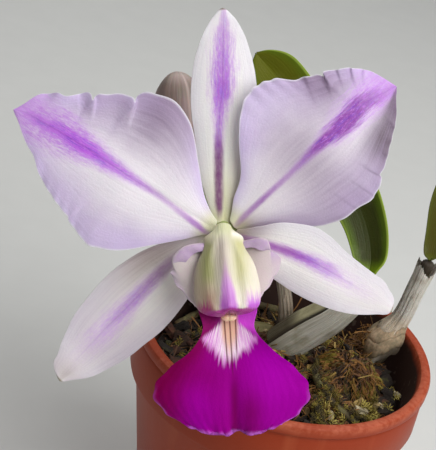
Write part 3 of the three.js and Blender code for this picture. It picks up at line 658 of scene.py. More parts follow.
def tepalFinish(name, shape, isPetal):
    finish = Finish(name, Subsurface_Weight=0.25, Subsurface_Scale=0.0014,
                    Subsurface_Radius=(1.0, 0.7, 0.8), Sheen_Weight=0.1, Specular_IOR_Level=0.3)
    u, v, face = finish.parts("spot")
    far, across, height = finish.parts("reach")
    flame = shape["flame"]
    veins = finish.noise((v * 20, far * 0.06), detail=4)
    grain = finish.noise((across * 1.1, far * 0.5, height * 0.3), detail=4)
    ragged = finish.noise((across * 1.3, far * 0.14, 4), detail=5, roughness=0.65)
    fromMiddle = across - u.line(flame["middle"], -6, 6)
    offset = abs(fromMiddle)
    coreHalf = u.line(flame["core"], 0, 6)
    haloHalf = u.line(flame["halo"], 0, 6)
    feather = u.step(0.4, 0.8, 0.35, 1.0)
    front = face.step(-0.3, 0.3, 0.5, 1.0)
    torn = (ragged - 0.5) * feather
    core = (offset + torn * (coreHalf * 2.2 + 0.4) - coreHalf) / (coreHalf * 0.5 + 0.16)
    core = 1 - core.step(-1.0, 1.0)
    core = core * u.line(flame["coreShare"]) * front
    halo = 1 - ((offset + torn * haloHalf * 2.0 - haloHalf) / (haloHalf * 0.6 + 0.2)).step(-1.2, 1.0)
    clearSide, clearShare = flame.get("clear", (1, 0))
    kept = 1 - (v * clearSide).step(0.05, 0.5) * clearShare
    dashes = finish.noise((across * 2.2, far * 0.6, 17), detail=4, roughness=0.7)
    halo = halo * u.line(flame["haloShare"]) * front * kept * (0.64 + dashes.step(0.36, 0.64) * 0.72)
    patches = finish.noise((across * 0.1, far * 0.08, 7), detail=4)
    wash = (abs(v) + (patches - 0.5) * 0.6 + u * 0.35).step(0.4, 1.2) * (0.85 if isPetal else 0.22)
    white = tepalColours["petalWhite" if isPetal else "white"]
    paper = wash.blend(white, tepalColours["lavender"])
    paper = paper.tinted(v.hill(0.5) * (1 - u) * 0.5, *tepalColours["cream"])
    paper = paper.tinted(u.step(0.1, 0.02) * 0.85, *tepalColours["base"])
    paper = paper.tinted(veins.step(0.4, 0.72) * 0.12 + grain * 0.1, 204, 190, 216)
    # patches of the tepal's own tint and of painted shade where it turns from the light or lies in another's
    # shadow
    for at, side, wide, share, start, shade in shape["shades"]:
        patch = (u - at).hill(wide) * (v * side + (patches - 0.5) * 0.3).step(start, start + 0.65)
        paper = paper.tinted(patch * share * (0.75 + veins * 0.5), *tepalColours[shade])
    skin = paper.tinted(halo, *tepalColours["halo"])
    paint = (u.step(0.5, 0.28) * 0.9).blend(flame["paint"], flame["foot"])
    streaks = finish.noise((across * 2.6, far * 0.22, 11), detail=4, roughness=0.7)
    streak = flame.get("streak", tepalColours["streak"])
    paint = paint.tinted(streaks.step(0.48, 0.62) * u.step(0.3, 0.5), *streak)
    paint = paint.tinted(dashes.step(0.5, 0.64) * u.step(0.4, 0.6) * 0.45, 220, 150, 236)
    skin = finish.mix(core * (0.6 + grain * 0.5), skin, paint)
    vein = (fromMiddle + (ragged - 0.5) * 0.5).hill(0.22)
    skin = skin.tinted(vein * u.line(flame["haloShare"]) * front * 0.4, 126, 50, 168)
    if isPetal:
        speckle = streaks.step(0.4, 0.6) * 0.4 + 0.3
        skin = skin.tinted(u.step(0.84, 0.97) * speckle * front * kept, *tepalColours["halo"])
        skin = skin.tinted(abs(v).step(0.965, 1.0) * 0.6, *tepalColours["rim"])
    else:
        skin = skin.tinted(u.step(0.986, 0.997) * 0.8, *tepalColours["tip"])
    cells = finish.grain(1900, 3)
    ridges = finish.relief(veins, 0.0004, 0.25)
    ridges = finish.relief(cells, 0.0003, 0.3, ridges)
    finish.paint(Base_Color=skin, Normal=ridges, Roughness=0.42 + grain * 0.2)
    return finish


print("sepals and petals")
for tepalName, tepalShape in tepals.items():
    makeTepal(tepalName, tepalShape)


# The lip: a trough under the column, a neck and a broad fan, with a side lobe on either hand
lip = {
    "x": [0.1, 0.2, 0.4, 0.6, 0.9, 1.2, 2.1, 2.1, 1.9, 2.1, 2.2],
    "y": [-3.9, -7, -11, -15.5, -20, -25, -30.5, -36.5, -42.5, -48.3, -51.9],
    "z": [0.3, 1.9, 3.1, 4.2, 5.4, 7.4, 9.6, 11.2, 11.6, 10.8, 9.2],
    "halfArc": [2.2, 4.8, 7.4, 8.6, 8.4, 7.0, 10.6, 17.2, 20.2, 17.4, 12.4],
    "turn": [0.5, 0.95, 1.0, 0.95, 0.85, 0.6, 0.3, -0.16, -0.3, -0.34, -0.3],
    "rise": [0, 0, 0, 0, 0, 0, 0.2, 0.6, 1.3, 2.0, 2.6],
    "thickness": 0.8,
    "earRoot": (0.06, 0.43, 0.84),
    "earLeft": [(-4.6, -3.2, 2.6), (-10.7, -4.4, 4.8), (-14.2, -8.9, 5.2), (-12.3, -13.6, 5.2),
                (-7.8, -18.6, 7.2)],
    "earRight": [(4.8, -2.8, 2.6), (10.9, -2.2, 4.8), (14.6, -7.4, 5.2), (12.6, -12.6, 5.2),
                 (8.2, -17.6, 7.4)],
    "earBulge": 0.3,
    "earFoldEnd": {"earLeft": 0.5, "earRight": 0.36},
    "earBand": 3.3,
    "grooveShift": 1.1,
    "throat": (1.4, -19),  # under the column's edge
}


def lipSurface():
    x, y, z, halfArc, turn, rise = (along(lip[key]) for key in ("x", "y", "z", "halfArc", "turn", "rise"))

    def surface(u, v):
        sweep = np.where(np.abs(turn(u)) < 1e-3, 1e-3, turn(u))
        radius = halfArc(u) * rounding(u, 0.01, 0.004) / sweep
        swept = sweep * v
        across = radius * np.sin(swept)
        fan = np.clip((u - 0.6) / 0.4, 0, 1)
        fromGroove = across - lip["grooveShift"] * fan
        groove = -1.1 * fan * hill(fromGroove, 0, 2.2)
        broad = 0.6 * fan * np.abs(v) ** 4 * np.sin(26 * u)
        notch = 1.5 * hill(fromGroove, 0, 2.0) * np.clip((u - 0.85) / 0.15, 0, 1)
        rays = 0.07 * fan * np.cos(2 * np.pi * 8.5 * v + 3 * lumps(stack(u * 4, v * 3, 0), 1))
        lowRim = ease(u, 0.9, 1.0)
        sideRim = ease(np.abs(v), 0.88, 1.0) * ease(u, 0.58, 0.72)
        crimp = lowRim * (0.4 * np.sin(31 * v + 4 * np.sin(5 * v)) + 0.12 * np.sin(83 * v + 2))
        crimp = crimp + sideRim * (0.3 * np.sin(60 * u + 3 * np.sin(20 * u)) + 0.08 * np.sin(150 * u))
        height = z(u) + radius * (1 - np.cos(swept)) + groove + broad + rays + crimp
        scallop = 0.3 * lowRim * np.sin(19 * v + 2 + 2 * np.sin(7 * v))
        bulge = 0.3 * sideRim * np.sin(70 * u) * np.sign(v)
        return stack(x(u) + across + bulge, y(u) + rise(u) * v * v + notch + scallop, height)

    return surface


def makeLip(finish):
    surface = lipSurface()
    thin = lambda u, v: lip["thickness"] * (1 - 0.5 * np.abs(v) ** 3)
    reach = lambda u, v, middle: stack(middle[:, 0], middle[:, 1], 0)
    lobes = [blade("lip_fan", 160, 180, surface, thin, reach, fromBloom)]
    start, end, root = lip["earRoot"]
    for name, sign in (("earLeft", -1), ("earRight", 1)):
        rimCurve = curveThrough(lip[name])
        foldEnd = lip["earFoldEnd"][name]

        def flap(u, v):
            # out from the trough to the ear's rim, whose upper part is turned down over the ear's own face
            share = (v + 1) / 2
            foot = surface(start + (end - start) * u, sign * root + 0 * u)
            out = rimCurve(u)
            turnedDown = 1 - ease(u, foldEnd - 0.12, foldEnd + 0.12)
            edge = 0.66
            outward = np.minimum(share / edge, 1) * turnedDown + share * (1 - turnedDown)
            back = np.clip((share - edge) / (1 - edge), 0, 1) * turnedDown
            spots = foot + (out - foot) * outward[:, None]
            inward = unit((foot - out) * (1, 1, 0))
            spots = spots + inward * (back * lip["earBand"] * (0.75 + 0.5 * u / foldEnd))[:, None]
            wave = 0.7 * share**2 * np.sin(9 * u) + 0.3 * share**4 * np.sin(26 * u + sign)
            rounded = np.sin(np.pi * np.minimum(back * 1.2, 0.5))
            over = rounded * (0.6 + 1.3 * (1 - ease(u, 0, 0.3))) * turnedDown
            spots[:, 2] += lip["earBulge"] * np.sin(np.pi * share) + wave + over
            scallop = 0.35 * ease(share, 0.75, 1) * np.sin(34 * u + 2 * sign)
            spots[:, 1] += scallop * (1 - back)
            return spots

        reach = lambda u, v, middle: stack(middle[:, 0], middle[:, 1], 1)
        lobes.append(blade(name, 90, 90, flap, lambda u, v: 0.55 * (1 - 0.4 * v * v), reach, fromBloom))
    settle(joinedPieces("lip_blade", lobes), finish, ["lip"], "lip")


def lipFinish():
    finish = Finish("lip_skin", Subsurface_Weight=0.08, Subsurface_Scale=0.0008,
                    Subsurface_Radius=(1.0, 0.2, 0.9), Specular_IOR_Level=0.03)
    u, v = finish.parts("spot")[:2]
    x, y, lobe = finish.parts("reach")
    fromThroat = lip["throat"][1] - y
    sideways = x - lip["throat"][0]
    aside = abs(sideways)
    spread = sideways / (fromThroat + 8)
    rays = finish.noise((spread * 13, fromThroat * 0.05), detail=4)
    fine = finish.noise((spread * 48, fromThroat * 0.11, 3), detail=3)
    cloud = finish.noise((x * 0.12, y * 0.12, 9), detail=3)
    magenta = (sideways + cloud * 10).step(-16, 16).blend((140, 0, 86), (154, 0, 148))
    magenta = magenta.tinted((fine + rays * 0.6).step(0.6, 1.0) * 0.2, 140, 0, 126)
    # the fan is painted darker along its groove and to the right of it: painted shade
    creaseShade = (sideways - 1.2).hill(1.1) * fromThroat.step(14, 22)
    shade = (sideways - 5.2).hill(3.0) * fromThroat.step(16, 28) * (0.5 + cloud)
    # the fan is painted lighter where its sides rise: a painted highlight
    lift = (sideways - 10).hill(5.5) * fromThroat.step(8, 14) * fromThroat.step(27, 20)
    paintedHighlight = lift * 0.7 + (sideways + 8).hill(4.5) * fromThroat.step(17, 25)
    magenta = magenta.tinted(paintedHighlight * (0.3 + cloud * 0.6), 176, 0, 178)
    magenta = magenta.tinted(creaseShade * 0.7 + shade * 0.65, 112, 0, 76)
    # the fan's left margin is painted darker: painted shade
    leftEdgeShade = v.step(-0.5, -0.95) * u.step(0.92, 0.72)
    magenta = magenta.tinted(leftEdgeShade * 0.7, 112, 0, 56)
    # the neck is painted dark on its left and bright on its right: painted shade and painted light
    neckLitAndShaded = (sideways + rays * 2).step(-4, 4).blend((140, 24, 100), (234, 86, 240))
    skin = finish.mix((fromThroat - aside * 0.25).step(3.4, 6.8), neckLitAndShaded, magenta)
    # a crown of pale rays below the throat, ragged where the magenta runs up between them
    top = 3.0 + aside * 0.72 + (fine - 0.5) * 2.4
    foot = 14.2 - aside * 0.1 - sideways * sideways * 0.1 + (rays - 0.5) * 7 + (fine - 0.5) * 7
    crown = (fromThroat - top).step(-0.6, 0.9) * (1 - (fromThroat - foot).step(-2.2, 1.2))
    crown = crown * (aside + (fine - 0.5) * 3).step(9.4, 7.0)
    lilac = (fine + aside * 0.03).step(0.4, 0.8).blend((252, 238, 244), (214, 124, 212))
    skin = finish.mix(crown, skin, lilac)
    peachFoot = 13.5 - aside * 1.5 + (fine - 0.5) * 6
    peach = (1 - (fromThroat - peachFoot).step(-5, 1)) * aside.step(2.7, 1.5) * fromThroat.step(1, 3)
    skin = skin.tinted(peach, 236, 190, 164)
    for startX, endX, end in ((0.05, 0.95, 17), (1.47, 2.1, 19), (3.0, 3.3, 15)):
        lineX = startX + (fromThroat - 4.6) * ((endX - startX) / 11)
        mark = (x - lineX).hill(0.2) * fromThroat.step(end, end - 5) * fromThroat.step(1, 3)
        skin = skin.tinted(mark * 0.9, 92, 20, 40)
    sideEdge = (abs(v) + (rays - 0.5) * 0.06).step(0.94, 0.998) * u.step(0.74, 0.92)
    rimShare = finish.maths("MAXIMUM", (u + (rays - 0.5) * 0.05).step(0.955, 0.999), sideEdge)
    skin = skin.tinted(rimShare * (0.15 + rays * 0.8), 206, 118, 228)
    skin = finish.mix(lobe, skin, earColours(finish, u, v, x))
    trough = (1 - fromThroat.step(-4, 1)) * (1 - lobe)
    skin = skin.tinted(trough, 230, 222, 200)
    ribs = finish.relief(rays * 0.6 + fine * 0.4, 0.0006, 0.2)
    cells = finish.grain(2200, 2)
    ribs = finish.relief(cells, 0.0002, 0.3, ribs)
    finish.paint(Base_Color=skin, Normal=ribs, Roughness=0.55 + fine * 0.2)
    return finish


def earColours(finish, u, v, x):
    share = (v + 1) * 0.5
    speckle = finish.grain(700, 3)
    lobeVeins = finish.noise((share * 2, u * 22, 5), detail=3)
    upper = 1 - u.step(0.35, 0.55)
    band = (share + (speckle - 0.5) * 0.1).step(0.66, 0.76) * upper
    skin = share.step(0.0, 0.35).blend((214, 200, 190), (214, 200, 198))
    skin = skin.tinted(share.step(0.5, 1.0) * (0.25 + lobeVeins * 0.5), 204, 180, 212)
    # the right ear is painted darker: painted shade
    skin = skin.tinted(x.step(4, 9) * 0.4, 190, 172, 176)
    return skin.tinted(band * (0.35 + speckle * 0.6), 176, 146, 186)


print("lip")
makeLip(lipFinish())


# The column: a broad ribbed hood over the lip's foot, with the anther cap at its tip
column = {
    "line": [(-0.3, 1.2, 1.6), (-0.1, -2.4, 4.2), (0.2, -8, 7.4), (0.7, -14.5, 10.4), (1.2, -19.2, 12.2),
             (1.4, -21.4, 12.9)],
    "halfWidth": [2.1, 2.8, 5.2, 7.4, 8.3, 8.3, 7.2, 4.8],
    "halfDepth": [1.8, 1.9, 2.2, 2.6, 2.9, 3.0, 2.8, 2.0],
    "notch": (1.7, -22.6, 1.3, 1.9),
    "cap": (1.2, -22.0, 10.4),
    "capSize": (1.95, 1.0, 1.4),
}


def makeColumn():
    halfWidth, halfDepth = along(column["halfWidth"]), along(column["halfDepth"])

    def section(t, angle):
        front = np.maximum(np.sin(angle), 0) * -1 + np.maximum(-np.sin(angle), 0)
        wing = 1 + 0.55 * hill(t, 0.16, 0.07) * np.abs(np.cos(angle)) ** 6
        ridge = 0.5 * hill(np.cos(angle), 0, 0.16) + 0.42 * hill(np.abs(np.cos(angle)), 0.62, 0.14)
        furrow = -0.25 * hill(np.abs(np.cos(angle)), 0.34, 0.13)
        upper = np.abs(front) * ease(t, 0.12, 0.45)
        depth = halfDepth(t) * (1 + 0.12 * hill(np.cos(angle), 0, 0.35) * t) + (ridge + furrow) * upper
        return halfWidth(t) * wing * np.cos(angle), depth * np.sin(angle)

    def toWorld(points):
        x, y, wide, tall = column["notch"]
        dent = hill(points[:, 0], x, wide) * hill(points[:, 1], y, tall)
        points = points.copy()
        points[:, 1] += 1.9 * dent
        points[:, 2] -= 0.5 * dent
        return fromBloom(points)

    body = tube("column_body", column["line"], (1, 0, 0), section, 90, 96, (0.03, 0.05), toWorld)
    settle(body, columnFinish(), ["column"], "column")


def makeCap():
    bpy.ops.mesh.primitive_uv_sphere_add(segments=40, ring_count=24, radius=1)
    cap = bpy.context.object
    cap.name = "anther_cap_body"
    spots = np.array([vertex.co for vertex in cap.data.vertices])
    furrow = 1 - 0.16 * hill(spots[:, 0], 0, 0.16) * (spots[:, 2] > -0.5)
    spots = spots * np.array(column["capSize"]) * furrow[:, None]
    cap.data.vertices.foreach_set("co", (fromBloom(spots + np.array(column["cap"])) * mm).ravel())
    bpy.ops.object.shade_smooth()
    settle(cap, capFinish(), ["anther_cap"], "anther_cap")


def columnFinish():
    finish = Finish("column_skin", Roughness=0.36, Subsurface_Weight=0.25, Subsurface_Scale=0.0015,
                    Subsurface_Radius=(1.0, 0.8, 0.5), Coat_Weight=0.1)
    t = finish.parts("spot")[0]
    far, across = finish.parts("reach")[:2]
    wander = finish.noise((across * 0.5, far * 0.22), detail=4)
    fine = finish.noise((across * 2.5, far * 0.2, 4), detail=3)
    skin = t.step(0.08, 0.4).blend((206, 206, 164), (228, 220, 204))
    # a pale patch on the right shoulder: a painted highlight
    shoulderHighlight = across.step(1.5, 2.6) * (t - 0.17).hill(0.06)
    skin = skin.tinted(shoulderHighlight * 0.9, 250, 244, 232)
    # the column's left side is painted darker and browner: painted shade
    paintedLeftShade = (across + (wander - 0.5) * 1.5).step(-1.2, -6.5)
    skin = skin.tinted(paintedLeftShade * 0.75, 150, 128, 108)
    leftBand = (across + 4.4).hill(2.6) * (0.75 + wander * 0.6)
    skin = skin.tinted(leftBand * t.step(0.16, 0.3) * t.step(0.74, 0.5), 142, 142, 90)
    skin = skin.tinted(leftBand * t.step(0.5, 0.72) * t.step(1.0, 0.9) * 0.9, 150, 124, 100)
    rightBand = (across - 3.8).hill(2.4) * t.step(0.16, 0.28) * t.step(0.8, 0.45)
    skin = skin.tinted(rightBand * (0.55 + wander * 0.6), 198, 194, 134)
    stripeHalf = t.line([(0, 0.2), (0.4, 0.4), (0.47, 0.6), (0.61, 1.4), (0.78, 2.0), (1, 2.2)], 0, 4)
    stripe = 1 - (abs(across) + (wander - 0.5) * 1.2 + (fine - 0.5) * 0.8 - stripeHalf).step(-0.7, 0.6)
    ridge = (across + 0.6).hill(1.8) * t.step(0.15, 0.3) * t.step(0.7, 0.5)
    skin = skin.tinted(ridge * 0.9, 188, 174, 162)
    skin = skin.tinted(stripe * t.step(0.36, 0.66) * 0.8, 196, 118, 210)
    skin = skin.tinted(stripe * (t + (fine - 0.5) * 0.2).step(0.6, 0.86) * 0.7, 172, 62, 184)
    skin = skin.tinted(across.hill(0.35) * t.step(0.45, 0.8) * 0.4, 160, 70, 170)
    rightCorner = (across + (wander - 0.5) * 2.4).step(3.6, 5.6) * (t + (fine - 0.5) * 0.3).step(0.62, 0.84)
    leftCorner = (across + (wander - 0.5) * 2.4).step(-3.4, -5.2) * (t + (fine - 0.5) * 0.3).step(0.7, 0.86)
    skin = skin.tinted(rightCorner * 0.9, 186, 60, 204)
    skin = skin.tinted(leftCorner, 150, 30, 104)
    skin = skin.tinted((t + (wander - 0.5) * 0.1).step(0.875, 0.925) * 0.95, 150, 16, 124)
    finish.paint(Base_Color=skin, Normal=finish.relief(fine, 0.0006, 0.35))
    return finish


def capFinish():
    finish = Finish("anther_cap_skin", Roughness=0.4, Subsurface_Weight=0.2, Subsurface_Scale=0.001)
    grain = finish.grain(900, 3)
    skin = grain.blend((248, 216, 178), (236, 186, 156))
    finish.paint(Base_Color=skin, Normal=finish.relief(grain, 0.0003, 0.3))
    return finish


print("column")
makeColumn()
makeCap()


# The flower stem, with the disc that the bloom sits on, and the second bud, just opening
stemParts = [
    ([(-11, -4, 69.4), (-12.5, -6, 84), (-17, -9.5, 99), (-22, -16, 112), (-25.6, -26, 121.8),
      (-26, -33.2, 126.6)], [2.4, 2.1, 2.0, 2.3, 2.8, 3.0], 110, 28, (0.004, 0.01)),
    ([(-17, -9.5, 99), (-25, -3, 104), (-34, 5, 107), (-39.9, 10.4, 110), (-42, 13, 114.6)],
     [2.0, 1.7, 1.8, 2.2, 2.5, 2.2], 60, 24, (0.01, 0.03)),
]
stemDisc = {
    "line": [(0, 0, -5.3), (0, 0, -3.8), (0, 0, -2.4), (0, 0, -1.2), (0, 0, 0)],
    "radii": [2.6, 3.8, 4.1, 3.0, 2.2, 1.6],
}
bud = {
    "foot": (-41.3, 12, 112.2),
    "tip": (-50.6, 28, 141.6),
    "radii": [2.6, 5.2, 7.0, 7.6, 7.7, 7.4, 6.9, 6.2],
    "sepalStep": 1.1,
}


def makeFlowerStem(finish):
    ribs = lambda t, angle: 0.08 * np.cos(6 * angle + 2 * t) * ease(t, 0.6, 1) + 0.22 * hill(t, 0.42, 0.012)
    pieces = branches((1, 0.2, 0.1), ribs, stemParts)
    section = roundSection(stemDisc["radii"])
    pieces.append(tube("disc", stemDisc["line"], (1, 0, 0), section, 30, 40, (0.1, 0.12), fromBloom))
    settle(joinedPieces("flower_stem_green", pieces), finish, ["flower_stem"], "flower_stem")


def makeBud(finish):
    middle = (np.array(bud["foot"]) + np.array(bud["tip"])) / 2
    radius = along(bud["radii"])

    def section(t, angle):
        share = (angle / (2 * np.pi) * 3 + 0.5) % 1
        stepHeight = bud["sepalStep"] * share * np.sin(np.pi * np.minimum(t * 1.1, 1)).clip(0)
        apart = 1 - 0.14 * t**4 * (0.5 + 0.5 * np.cos(2 * np.pi * share))
        keel = 0.25 * hill(share, 0.5, 0.06) * ease(t, 0.1, 0.4)
        ribs = 0.03 * np.cos(2 * np.pi * share * 9)
        r = (radius(t) - 0.4 + stepHeight + keel + ribs) * apart
        return r * np.cos(angle), r * np.sin(angle)

    line = [bud["foot"], middle, bud["tip"]]
    body = tube("opening_bud_body", line, (1, 0, 0), section, 90, 132, (0.02, 0.2))
    settle(body, finish, ["opening_bud"], "bud")


def stemFinish():
    finish = Finish("stem_skin", Subsurface_Weight=0.15, Subsurface_Scale=0.0015, Coat_Weight=0.08)
    far, across, out = finish.parts("reach")
    streaks = finish.noise((far * 0.08, across * 1.4, out * 1.4), detail=4)
    spots = finish.grain(420, 4)
    skin = streaks.blend((126, 142, 74), (164, 170, 104))
    skin = skin.tinted(spots.step(0.58, 0.72) * 0.5, 122, 96, 84)
    finish.paint(Base_Color=skin, Normal=finish.relief(streaks, 0.0006, 0.3), Roughness=0.36 + spots * 0.2)
    return finish


def budFinish():
    finish = Finish("bud_skin", Roughness=0.48, Subsurface_Weight=0.2, Subsurface_Scale=0.0015)
    t, aside, face = finish.parts("spot")
    angle = finish.maths("ARCTAN2", face, aside) * (3 / (2 * math.pi)) + 3.5
    share = finish.maths("FRACT", angle)
    veins = finish.noise((share * 14, t * 1.2), detail=4)
    blush = finish.grain(95, 3)
    # the bud's dull brown grey is partly its own colour and partly painted shade
    skin = blush.step(0.35, 0.65).blend((134, 110, 104), (118, 105, 90))
    skin = skin.tinted(veins.step(0.42, 0.7) * 0.25, 150, 118, 130)
    # its sepals' seams are painted paler: partly paler edges, partly a painted highlight
    rim = 1 - finish.maths("MINIMUM", share, 1 - share).step(0.01, 0.07)
    skin = skin.tinted(rim * 0.5, 196, 178, 172)
    skin = skin.tinted(t.step(0.86, 1.0) * 0.5, 198, 180, 172)
    skin = skin.tinted(t.step(0.3, 0.0) * 0.7, 144, 150, 92)
    finish.paint(Base_Color=skin, Normal=finish.relief(veins, 0.0006, 0.4))
    return finish


print("flower stem and bud")
makeFlowerStem(stemFinish())
makeBud(budFinish())


# Leaves: thick, channelled along the middle, with a paler rim that is partly a painted highlight
leaves = {
    "leaf_front": {
        "midrib": [(19.1, 8.6, 102.1), (18.5, 12.3, 106.2), (14.7, 18.1, 113.6), (7.1, 24, 121.7),
                   (-2.5, 29, 128.5), (-11.7, 34.4, 135.3), (-20.6, 39.7, 142.2), (-29.2, 43.4, 147.1)],
        "side": (0.78, 0.1, 0.62), "halfWidth": 9, "channel": 2.6, "ageing": 0.25,
    },
    "leaf_right": {
        "midrib": [(36.1, 18, 108), (35.8, 18.9, 112.5), (36, 23.4, 121.2), (37.9, 26.6, 131.2),
                   (41.6, 28, 143), (46, 27, 154)],
        "side": (0.85, 0.45, -0.3), "halfWidth": 9, "channel": 2.6, "ageing": 0.9,
    },
    "leaf_middle": {
        "midrib": [(-9, 26.2, 95.4), (-9.5, 30, 101), (-10, 38, 111), (-9, 47, 120), (-6, 56, 126)],
        "side": (1, -0.1, 0), "halfWidth": 9.5, "channel": 2.8, "ageing": 0.4,
    },
    "leaf_back": {
        "midrib": [(-28.6, 29.6, 97.1), (-34, 35.5, 103.5), (-42, 43, 108), (-50, 50, 108), (-57, 56, 103)],
        "side": (0.7, 0.7, -0.15), "halfWidth": 9.5, "channel": 2.8, "ageing": 0.6,
    },
}
leafOutline = along([0.22, 0.5, 0.64, 0.74, 0.86, 0.96, 1, 0.99, 0.95, 0.86, 0.68])


def makeLeaf(name, shape):
    curve = curveThrough(shape["midrib"])
    length = lengthOf(shape["midrib"])

    def surface(u, v):
        aside = v * leafOutline(u) * shape["halfWidth"] * rounding(u, 0.015, 0.13)
        share = np.abs(v)
        fold = shape["channel"] * (leafOutline(u) * share**1.4 + 0.5 * (1 - u) ** 3 * share)
        flat = beside(curve, u, shape["side"], aside, 0 * u)
        sway = 0.35 * np.sin(5 * u + 2 * v) * share + 0.25 * lumps(flat, 12)
        return beside(curve, u, shape["side"], aside, sway - fold * rounding(u, 0.015, 0.09))

    thickness = lambda u, v: 1.9 * (1 - 0.45 * v * v) * (1 - 0.3 * u)
    reach = lambda u, v, middle: stack(u * length, leafOutline(u) * shape["halfWidth"] * v, 0)
    piece = blade(name + "_blade", 90, 96, surface, thickness, reach, rim=0.6)
    settle(piece, leafFinish(name + "_skin", shape["ageing"]), [name], "leaf")


def leafFinish(name, ageing):
    finish = Finish(name, Specular_IOR_Level=0.22, Subsurface_Weight=0.06, Subsurface_Scale=0.001)
    fresh = min(1, 1.25 - 1.25 * ageing)
    u, v, face = finish.parts("spot")
    far, across = finish.parts("reach")[:2]
    veins = finish.noise((across * 1.8, far * 0.035), detail=4)
    mottle = finish.grain(130, 5)
    pores = finish.grain(1500, 2)
    blade = mottle.blend((44, 54, 4), (66, 76, 6))
    blade = blade.tinted(max(0, ageing - 0.5), 86, 76, 10)
    blade = blade.tinted((mottle + veins * 0.5).step(0.7, 1.0) * ageing, 110, 92, 28)
    blade = blade.tinted(veins.step(0.4, 0.7) * 0.35, 34, 46, 10)
    blade = blade.tinted(across.hill(0.5) * 0.25, 104, 118, 48)
    # the underside is a darker copy of the upper face: painted shade
    under = mottle.blend((40, 46, 6), (56, 62, 10))
    under = under.tinted(max(0, ageing - 0.4), 82, 74, 12)
    skin = finish.mix(face.step(0.12, -0.12), blade, under)
    # the outer half is painted lighter and yellower: painted light
    skin = skin.tinted(u.step(0.5, 0.85) * 0.65, 112, 116, 4)
    skin = skin.tinted((abs(v) + (mottle - 0.5) * 0.1).step(0.5, 0.98) * 0.7 * fresh, 88, 114, 8)
    # the rim is partly the leaf's paler margin and partly a painted highlight, brighter along one edge
    rim = (abs(v) + (mottle - 0.5) * 0.02).step(0.89, 0.95)
    skin = skin.tinted(rim * v.step(-0.6, 0.6, 0.35, 0.9) * fresh, 150, 172, 66)
    skin = skin.tinted(u.step(0.14, 0.0) * 0.8 * fresh, 112, 140, 6)
    dust = (mottle + pores * 0.2).step(0.66, 0.86) * 0.06
    skin = skin.tinted(dust, 190, 190, 172)
    ribs = finish.relief(veins, 0.0006, 0.3)
    ribs = finish.relief(pores, 0.0002, 0.35, ribs)
    finish.paint(Base_Color=skin, Normal=ribs, Roughness=0.38 + mottle * 0.2 + dust)
    return finish


print("leaves")
for leafName, leafShape in leaves.items():
    makeLeaf(leafName, leafShape)


# Pseudobulbs, each with its dry sheath
bulbs = {
    "front": {
        "line": [(-1.7, 11, 69.1), (5.3, 10, 78.6), (11.3, 9, 86.4), (15.7, 8.6, 94), (19, 8.6, 101.2)],
        "radii": [5.0, 5.5, 5.0, 4.3, 3.4, 2.4],
        "sheath": {"look": "silver", "from": 61, "to": 300, "foot": 0.03, "reach": 0.9, "mouth": 0.07,
                   "flare": 1, "side": (0, 0, 1)},
    },
    "right": {
        "line": [(29.6, 17.4, 67.6), (30.3, 17.6, 75.5), (32, 17.8, 81.5), (33.7, 18, 87.5),
                 (34.7, 18, 96.1), (36, 18, 107)],
        "radii": [1.9, 3.9, 3.6, 2.1, 1.8, 1.75, 1.7],
        "sheath": {"look": "pale", "from": 12, "to": 348, "foot": 0.33, "reach": 0.97, "mouth": 0.02,
                   "flare": 0.5, "side": (0, 1, 0)},
    },
    "middle": {
        "line": [(0.2, 21.8, 69.1), (-1.0, 22.6, 76.2), (-3.8, 24, 83.8), (-6.5, 25, 90), (-8.8, 26, 95)],
        "radii": [1.4, 1.3, 1.1, 1.1, 1.1, 1.1],
        "sheath": {"look": "warm", "from": 15, "to": 345, "foot": 0.1, "reach": 0.88, "mouth": 0.05,
                   "flare": 0.6, "side": (0, 1, 0)},
    },
    "back": {
        "line": [(-19.5, 19, 68.4), (-21.5, 21.5, 78.5), (-24.5, 25, 88), (-28.5, 29.5, 97)],
        "radii": [3.6, 4.7, 5.0, 4.4, 3.4, 2.4],
        "sheath": {"look": "silver", "from": 20, "to": 340, "foot": 0.1, "reach": 0.72, "mouth": 0.05,
                   "flare": 1, "side": (0, 1, 0)},
    },
}
collar = {"from": 30, "to": 236}
sheathGap = 0.71


def ribbed(radius, t, angle):
    return radius(t) * (1 + 0.045 * np.cos(6 * angle) * np.sin(np.pi * t))


def makeBulb(name, shape, finish):
    radius = along(shape["radii"])

    def section(t, angle):
        r = ribbed(radius, t, angle) + 0.06 * np.cos(24 * angle + 3 * np.sin(4 * t))
        r = r + 0.25 * hill(t, 0.97, 0.02)
        return r * np.cos(angle), r * np.sin(angle)

    node = "pseudobulb_" + name
    body = tube(node + "_body", shape["line"], shape["sheath"]["side"], section, 70, 72)
    settle(body, finish, [node], "pseudobulb")


